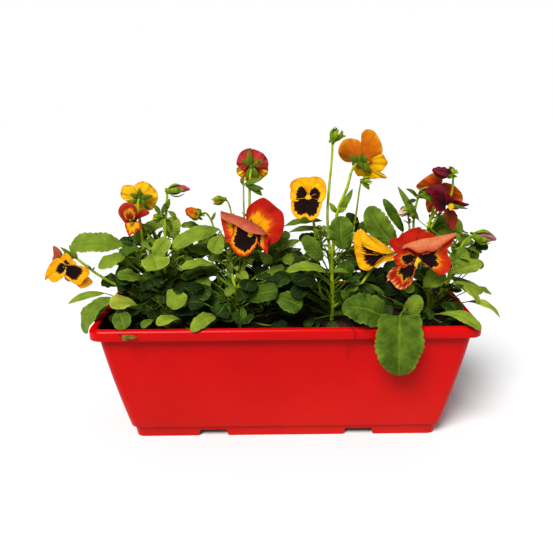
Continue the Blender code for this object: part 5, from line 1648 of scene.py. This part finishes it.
class PLANTER_OT_soil(bpy.types.Operator):
    """Fill the trough with potting mix and scatter crumbs on it"""

    bl_idname = "planter.soil"
    bl_label = "Potting mix"

    def execute(self, context):
        settings = context.scene.planter_soil
        shape = TroughShape(context.scene.planter_trough)
        finish = soil_finish()
        low = shape.floor + FIT_GAP
        inset = shape.wall + FIT_GAP
        rings = [
            shape.plinth_ring(low, inset),
            shape.plinth_ring(PLINTH_HEIGHT + PLINTH_LEDGE, inset),
            shape.wall_ring(PLINTH_HEIGHT + INNER_LEDGE + FIT_GAP, inset, shape.wall),
            *[shape.wall_ring(height, inset, shape.wall)
              for height in BULGE_HEIGHTS if height < SOIL_WALL_TOP],
            shape.wall_ring(SOIL_LEVEL - SOIL_EDGE_DROP, inset, shape.wall),
        ]
        rings = [with_side_points(ring) for ring in rings]
        rim = rings[-1]
        rng = np.random.default_rng(7)
        for share in SOIL_RINGS:
            x, y = rim[:, 0] * share, rim[:, 1] * share
            # Broad lumps and hollows some 40 mm apart, and a random roughness on them.
            lump = settings.unevenness / MM * (
                np.sin(x / 7.3 + y / 11.0) * np.cos(y / 6.1 - x / 17.0) * 0.6
                + rng.uniform(-0.35, 0.35, len(x))
            )
            rings.append(np.stack([x, y, soil_height(x, y) + lump - 1.0], axis=1))
        mesh = with_booleans("potting_mix", loft("potting_mix", rings, finish), [
            ("UNION", foot_helpers(shape, FIT_GAP, shape.wall + FIT_GAP, low + CUT_OVERLAP)),
        ])
        mesh.shade_smooth()
        soil = add_piece("potting_mix", mesh, ["potting_soil"])
        add_piece("potting_mix_crumbs", self.crumbs(soil, settings, finish))
        return {"FINISHED"}

    @staticmethod
    def crumbs(soil, settings, finish):
        """Loose crumbs scattered on the top of the mix by Geometry Nodes."""
        tree, add, given, (radius, density) = new_geometry_tree(
            "crumbs_on_mix", Crumb_radius="Float", Density="Float",
        )
        way = add("GeometryNodeInputNormal")[0]
        place = add("GeometryNodeInputPosition")[0]
        upward, high = (
            add("Math", {0: add("SeparateXYZ", [vector])[2], 1: least}, operation="GREATER_THAN")[0]
            for vector, least in ((way, 0.4), (place, CRUMB_FLOOR * MM))
        )
        top = add("Math", [upward, high], operation="MULTIPLY")[0]
        points = add("GeometryNodeDistributePointsOnFaces", {
            "Mesh": given["Geometry"], "Selection": top, "Density": given["Density"], "Seed": 5,
        })
        ball = add("GeometryNodeMeshIcoSphere", {"Radius": given["Crumb radius"], "Subdivisions": 1})
        turn, size = (
            add("FunctionNodeRandomValue", {0: least, 1: most, "Seed": seed}, data_type="FLOAT_VECTOR")[0]
            for least, most, seed in (
                ((0, 0, 0), (FULL_TURN,) * 3, 3), ((0.2, 0.2, 0.2), (1.0, 0.8, 0.6), 4),
            )
        )
        placed = add("GeometryNodeInstanceOnPoints", {
            "Points": points[0], "Instance": ball[0], "Rotation": turn, "Scale": size,
        })
        values = ((radius, settings.crumb), (density, settings.density))
        return run_tree(tree, placed[0], finish, "crumbs", soil.data.copy(), values)


class PLANTER_OT_stems(bpy.types.Operator):
    """Grow the stalks of the six plants"""

    bl_idname = "planter.stems"
    bl_label = "Stems"

    def execute(self, context):
        finish = stalk_finish("pansy_stalk", "9CAA0E", "546A0A", STALK_RIBS)
        for plant, routes in STEMS.items():
            mesh = stem_mesh(f"{plant}_stalks", routes, finish)
            add_piece(f"{plant}_stalks", mesh, [f"{plant}_stem"])
        return {"FINISHED"}


class PLANTER_OT_leaves(bpy.types.Operator):
    """Grow the leaves: the named ones one by one, and the rest of each plant together"""

    bl_idname = "planter.leaves"
    bl_label = "Leaves"

    def execute(self, context):
        settings = context.scene.planter_plants
        stalk = stalk_finish("pansy_leaf_stalk", "66801A", "2E470C", STALK_RIBS)
        finishes = [leaf_finish(), stalk]
        for number, (name, (height, heart, *shape)) in enumerate(LEAVES.items()):
            skin = Skin()
            plant = OTHER_STEMS.get(name, name.split("_leaf")[0])
            add_leaf(skin, settings, stem_side(plant, height, heart), heart, *shape, number + 1, 48, 13)
            skin.place(f"{name}_blade", finishes, "leaf_green", [name])
        for plant, leaves in MORE_LEAVES.items():
            skin = Skin()
            for number, (heart, tip, width, kind, tone) in enumerate(leaves):
                # A leaf that stands up faces forwards, and one that lies faces upwards.
                face = (0, -0.9, 0.5) if abs(tip[2] - heart[2]) > 12 else (0, -0.6, 1)
                add_leaf(skin, settings, stem_root(plant, heart), heart, tip, width, face, 0.12, kind,
                         tone, f"{plant} leaf {number}", 32, 9)
            add_filler_leaves(skin, settings, plant, settings.inner_leaves)
            add_stipules(skin, settings, plant)
            for number, (place, tip, width, tone) in enumerate(LEAFLETS[plant]):
                place, tip = np.array(place, float), np.array(tip, float)
                start = place + unit(tip - place) * 1.5
                add_leaf(skin, settings, place, start, tip, width, (0.1, -1, 0.5), 0.14, "lance", tone,
                         f"{plant} leaflet {number}", 16, 7)
            for place in SHOOTS[plant]:
                add_shoot(skin, settings, place, f"{plant} shoot {place}")
            skin.place(f"{plant}_further_leaves", finishes, "leaf_green")
        self.lay_scraps(settings)
        return {"FINISHED"}

    @staticmethod
    def lay_scraps(settings):
        """A withered leaflet and a dry root thread lie over the front rim."""
        skin = Skin()
        place, tip = np.array(WITHERED_LEAFLET, float)
        face = (0, -1, 0.4)
        add_leaf(skin, settings, place - (4, 0, -2), place, tip, 5, face, 0.2, "lance", 0.5,
                 "withered", 16, 7)
        add_leaf(skin, settings, place, place + (1, 0, -1), place + (6, 0, -5), 4, face, 0.2, "lance",
                 0.1, "withered tip", 12, 5)
        thread = spline(np.array(ROOT_THREAD, float), 24)
        skin.add_tube(thread, np.full(24, 0.32), 5, 0.5, 1)
        withered = stalk_finish("withered_leaf", "6A641C", "2C200A", WITHERED_RIBS)
        root = stalk_finish("dry_root_thread", "3A2010", "180C06", STALK_RIBS)
        skin.place("dry_scraps_on_the_rim", [withered, root], "leaf_green")


class PLANTER_OT_flowers(bpy.types.Operator):
    """Open the eleven flowers, each with its upper petals, lower petals and calyx"""

    bl_idname = "planter.flowers"
    bl_label = "Flowers"

    def execute(self, context):
        settings = context.scene.planter_flowers
        green = stalk_finish("pansy_sepal", "526810", "263606", SEPAL_RIBS)
        for flower, petals in PETALS.items():
            for (group, slot), rows in zip(GROUPS, petals):
                skin = Skin()
                chosen = [(*row, False) for row in rows]
                if group == "lower" and flower in FOLDS:
                    chosen.append((*FOLDS[flower], True))
                finishes = list(dict.fromkeys(finish for finish, *_ in chosen))
                for number, (finish, *shape, folded) in enumerate(chosen):
                    place = finishes.index(finish)
                    if folded:
                        add_fold(skin, settings, flower, *shape, place)
                    else:
                        add_petal(skin, settings, flower, *shape, place, f"{flower} {group} {number}")
                materials = [petal_material(finish) for finish in finishes]
                skin.place(f"{flower}_{group}", materials, slot, [f"{flower}_{group}_petals"])
            skin = Skin()
            add_calyx(skin, flower)
            skin.place(f"{flower}_calyx", [green], "stem_green")
        return {"FINISHED"}


class PLANTER_OT_buds(bpy.types.Operator):
    """Set the closed buds on their stalks"""

    bl_idname = "planter.buds"
    bl_label = "Buds"

    def execute(self, context):
        green = stalk_finish("pansy_bud_sepal", "789012", "304A08", SEPAL_RIBS)
        for name, shape in {**BUDS, **SMALL_BUDS}.items():
            skin = Skin()
            add_bud(skin, shape, name)
            replaced = [name] if name in BUDS else []
            skin.place(f"{name}_closed", [green, petal_material(shape[-1])], "bud_green", replaced)
        return {"FINISHED"}


class PLANTER_OT_stage(bpy.types.Operator):
    """Set the pale floor, the soft lights and the camera"""

    bl_idname = "planter.stage"
    bl_label = "Stage"

    def execute(self, context):
        settings = context.scene.planter_stage
        scene = context.scene
        scene.view_settings.view_transform = "Standard"
        side = FLOOR_HALF_SIDE
        mesh = bpy.data.meshes.new("pale_floor")
        corners = [(-side, -side, 0), (side, -side, 0), (side, side, 0), (-side, side, 0)]
        mesh.from_pydata(corners, [], [(0, 1, 2, 3)])
        # Matt emulsion paint: a soft, even grey with no gloss to speak of.
        material, add, shader = new_finish(
            "pale_floor_paint", {"Roughness": 0.9, "Specular IOR Level": 0.1},
        )
        mottle = add("TexNoise", {"Vector": add("TexCoord")["Object"], "Scale": 3.0})[0]
        colour = add("ValToRGB", [mottle], ((0.0, "CCCCCC"), (1.0, "D0D0D0")))[0]
        connect(shader, base_color=colour)
        mesh.materials.append(material)
        floor = bpy.data.objects.new("pale_floor", mesh)
        scene.collection.objects.link(floor)
        world = bpy.data.worlds.new("even_sky")
        scene.world = world
        world.use_nodes = True
        tree = world.node_tree
        add = partial(add_node, tree)
        way = add("TexCoord")["Generated"]
        height = add("SeparateXYZ", [way])[2]
        # Bright all round and dimmer overhead, so that the inside of the planting stays deep.
        light = add("MapRange", [height, 0.2, 0.6, settings.sky, settings.zenith])[0]
        seen = add("LightPath")["Is Camera Ray"]
        light = add("Math", [light, seen], operation="MAXIMUM")[0]
        tree.links.new(light, tree.nodes["Background"].inputs[1])
        tree.nodes["Background"].inputs[0].default_value = linear("FFFFFF")
        lamp = bpy.data.lights.new("soft_key", "SUN")
        lamp.energy = settings.key_power
        lamp.angle = math.radians(KEY_ANGLE)
        light = bpy.data.objects.new("soft_key", lamp)
        light.rotation_euler = Vector(KEY_DIRECTION).to_track_quat("-Z", "Y").to_euler()
        scene.collection.objects.link(light)
        camera = bpy.data.cameras.new("front_camera")
        camera.lens = settings.lens
        camera.sensor_width = SENSOR_WIDTH
        viewer = bpy.data.objects.new("front_camera", camera)
        viewer.location = EYE * MM
        tilt = Matrix.Rotation(math.radians(90 - settings.pitch), 3, "X")
        viewer.rotation_euler = (tilt @ Matrix.Rotation(math.radians(-settings.roll), 3, "Z")).to_euler()
        scene.collection.objects.link(viewer)
        scene.camera = viewer
        return {"FINISHED"}


class PLANTER_PT_panel(bpy.types.Panel):
    """Shows the planter's settings and the buttons that build its pieces"""

    bl_idname = "PLANTER_PT_panel"
    bl_label = "Pansy planter"
    bl_space_type = "VIEW_3D"
    bl_region_type = "UI"
    bl_category = "Planter"

    def draw(self, context):
        scene = context.scene
        for group in (scene.planter_trough, scene.planter_soil, scene.planter_plants,
                      scene.planter_flowers, scene.planter_stage):
            box = self.layout.box()
            for name in group.__annotations__:
                box.prop(group, name)
        for operator in OPERATORS:
            self.layout.operator(operator.bl_idname)


SETTINGS = {
    "planter_trough": PlanterTroughSettings,
    "planter_soil": PlanterSoilSettings,
    "planter_plants": PlanterPlantSettings,
    "planter_flowers": PlanterFlowerSettings,
    "planter_stage": PlanterStageSettings,
}
OPERATORS = (
    PLANTER_OT_trough, PLANTER_OT_soil, PLANTER_OT_stems, PLANTER_OT_leaves, PLANTER_OT_flowers,
    PLANTER_OT_buds, PLANTER_OT_stage,
)


def register():
    for cls in (*SETTINGS.values(), *OPERATORS, PLANTER_PT_panel):
        bpy.utils.register_class(cls)
    for name, cls in SETTINGS.items():
        setattr(bpy.types.Scene, name, PointerProperty(type=cls))


def unregister():
    for name in SETTINGS:
        delattr(bpy.types.Scene, name)
    for cls in reversed((*SETTINGS.values(), *OPERATORS, PLANTER_PT_panel)):
        bpy.utils.unregister_class(cls)


def main():
    register()
    bpy.ops.planter.trough()
    bpy.ops.planter.soil()
    bpy.ops.planter.stems()
    bpy.ops.planter.leaves()
    bpy.ops.planter.flowers()
    bpy.ops.planter.buds()
    bpy.ops.planter.stage()


if __name__ == "__main__":
    main()
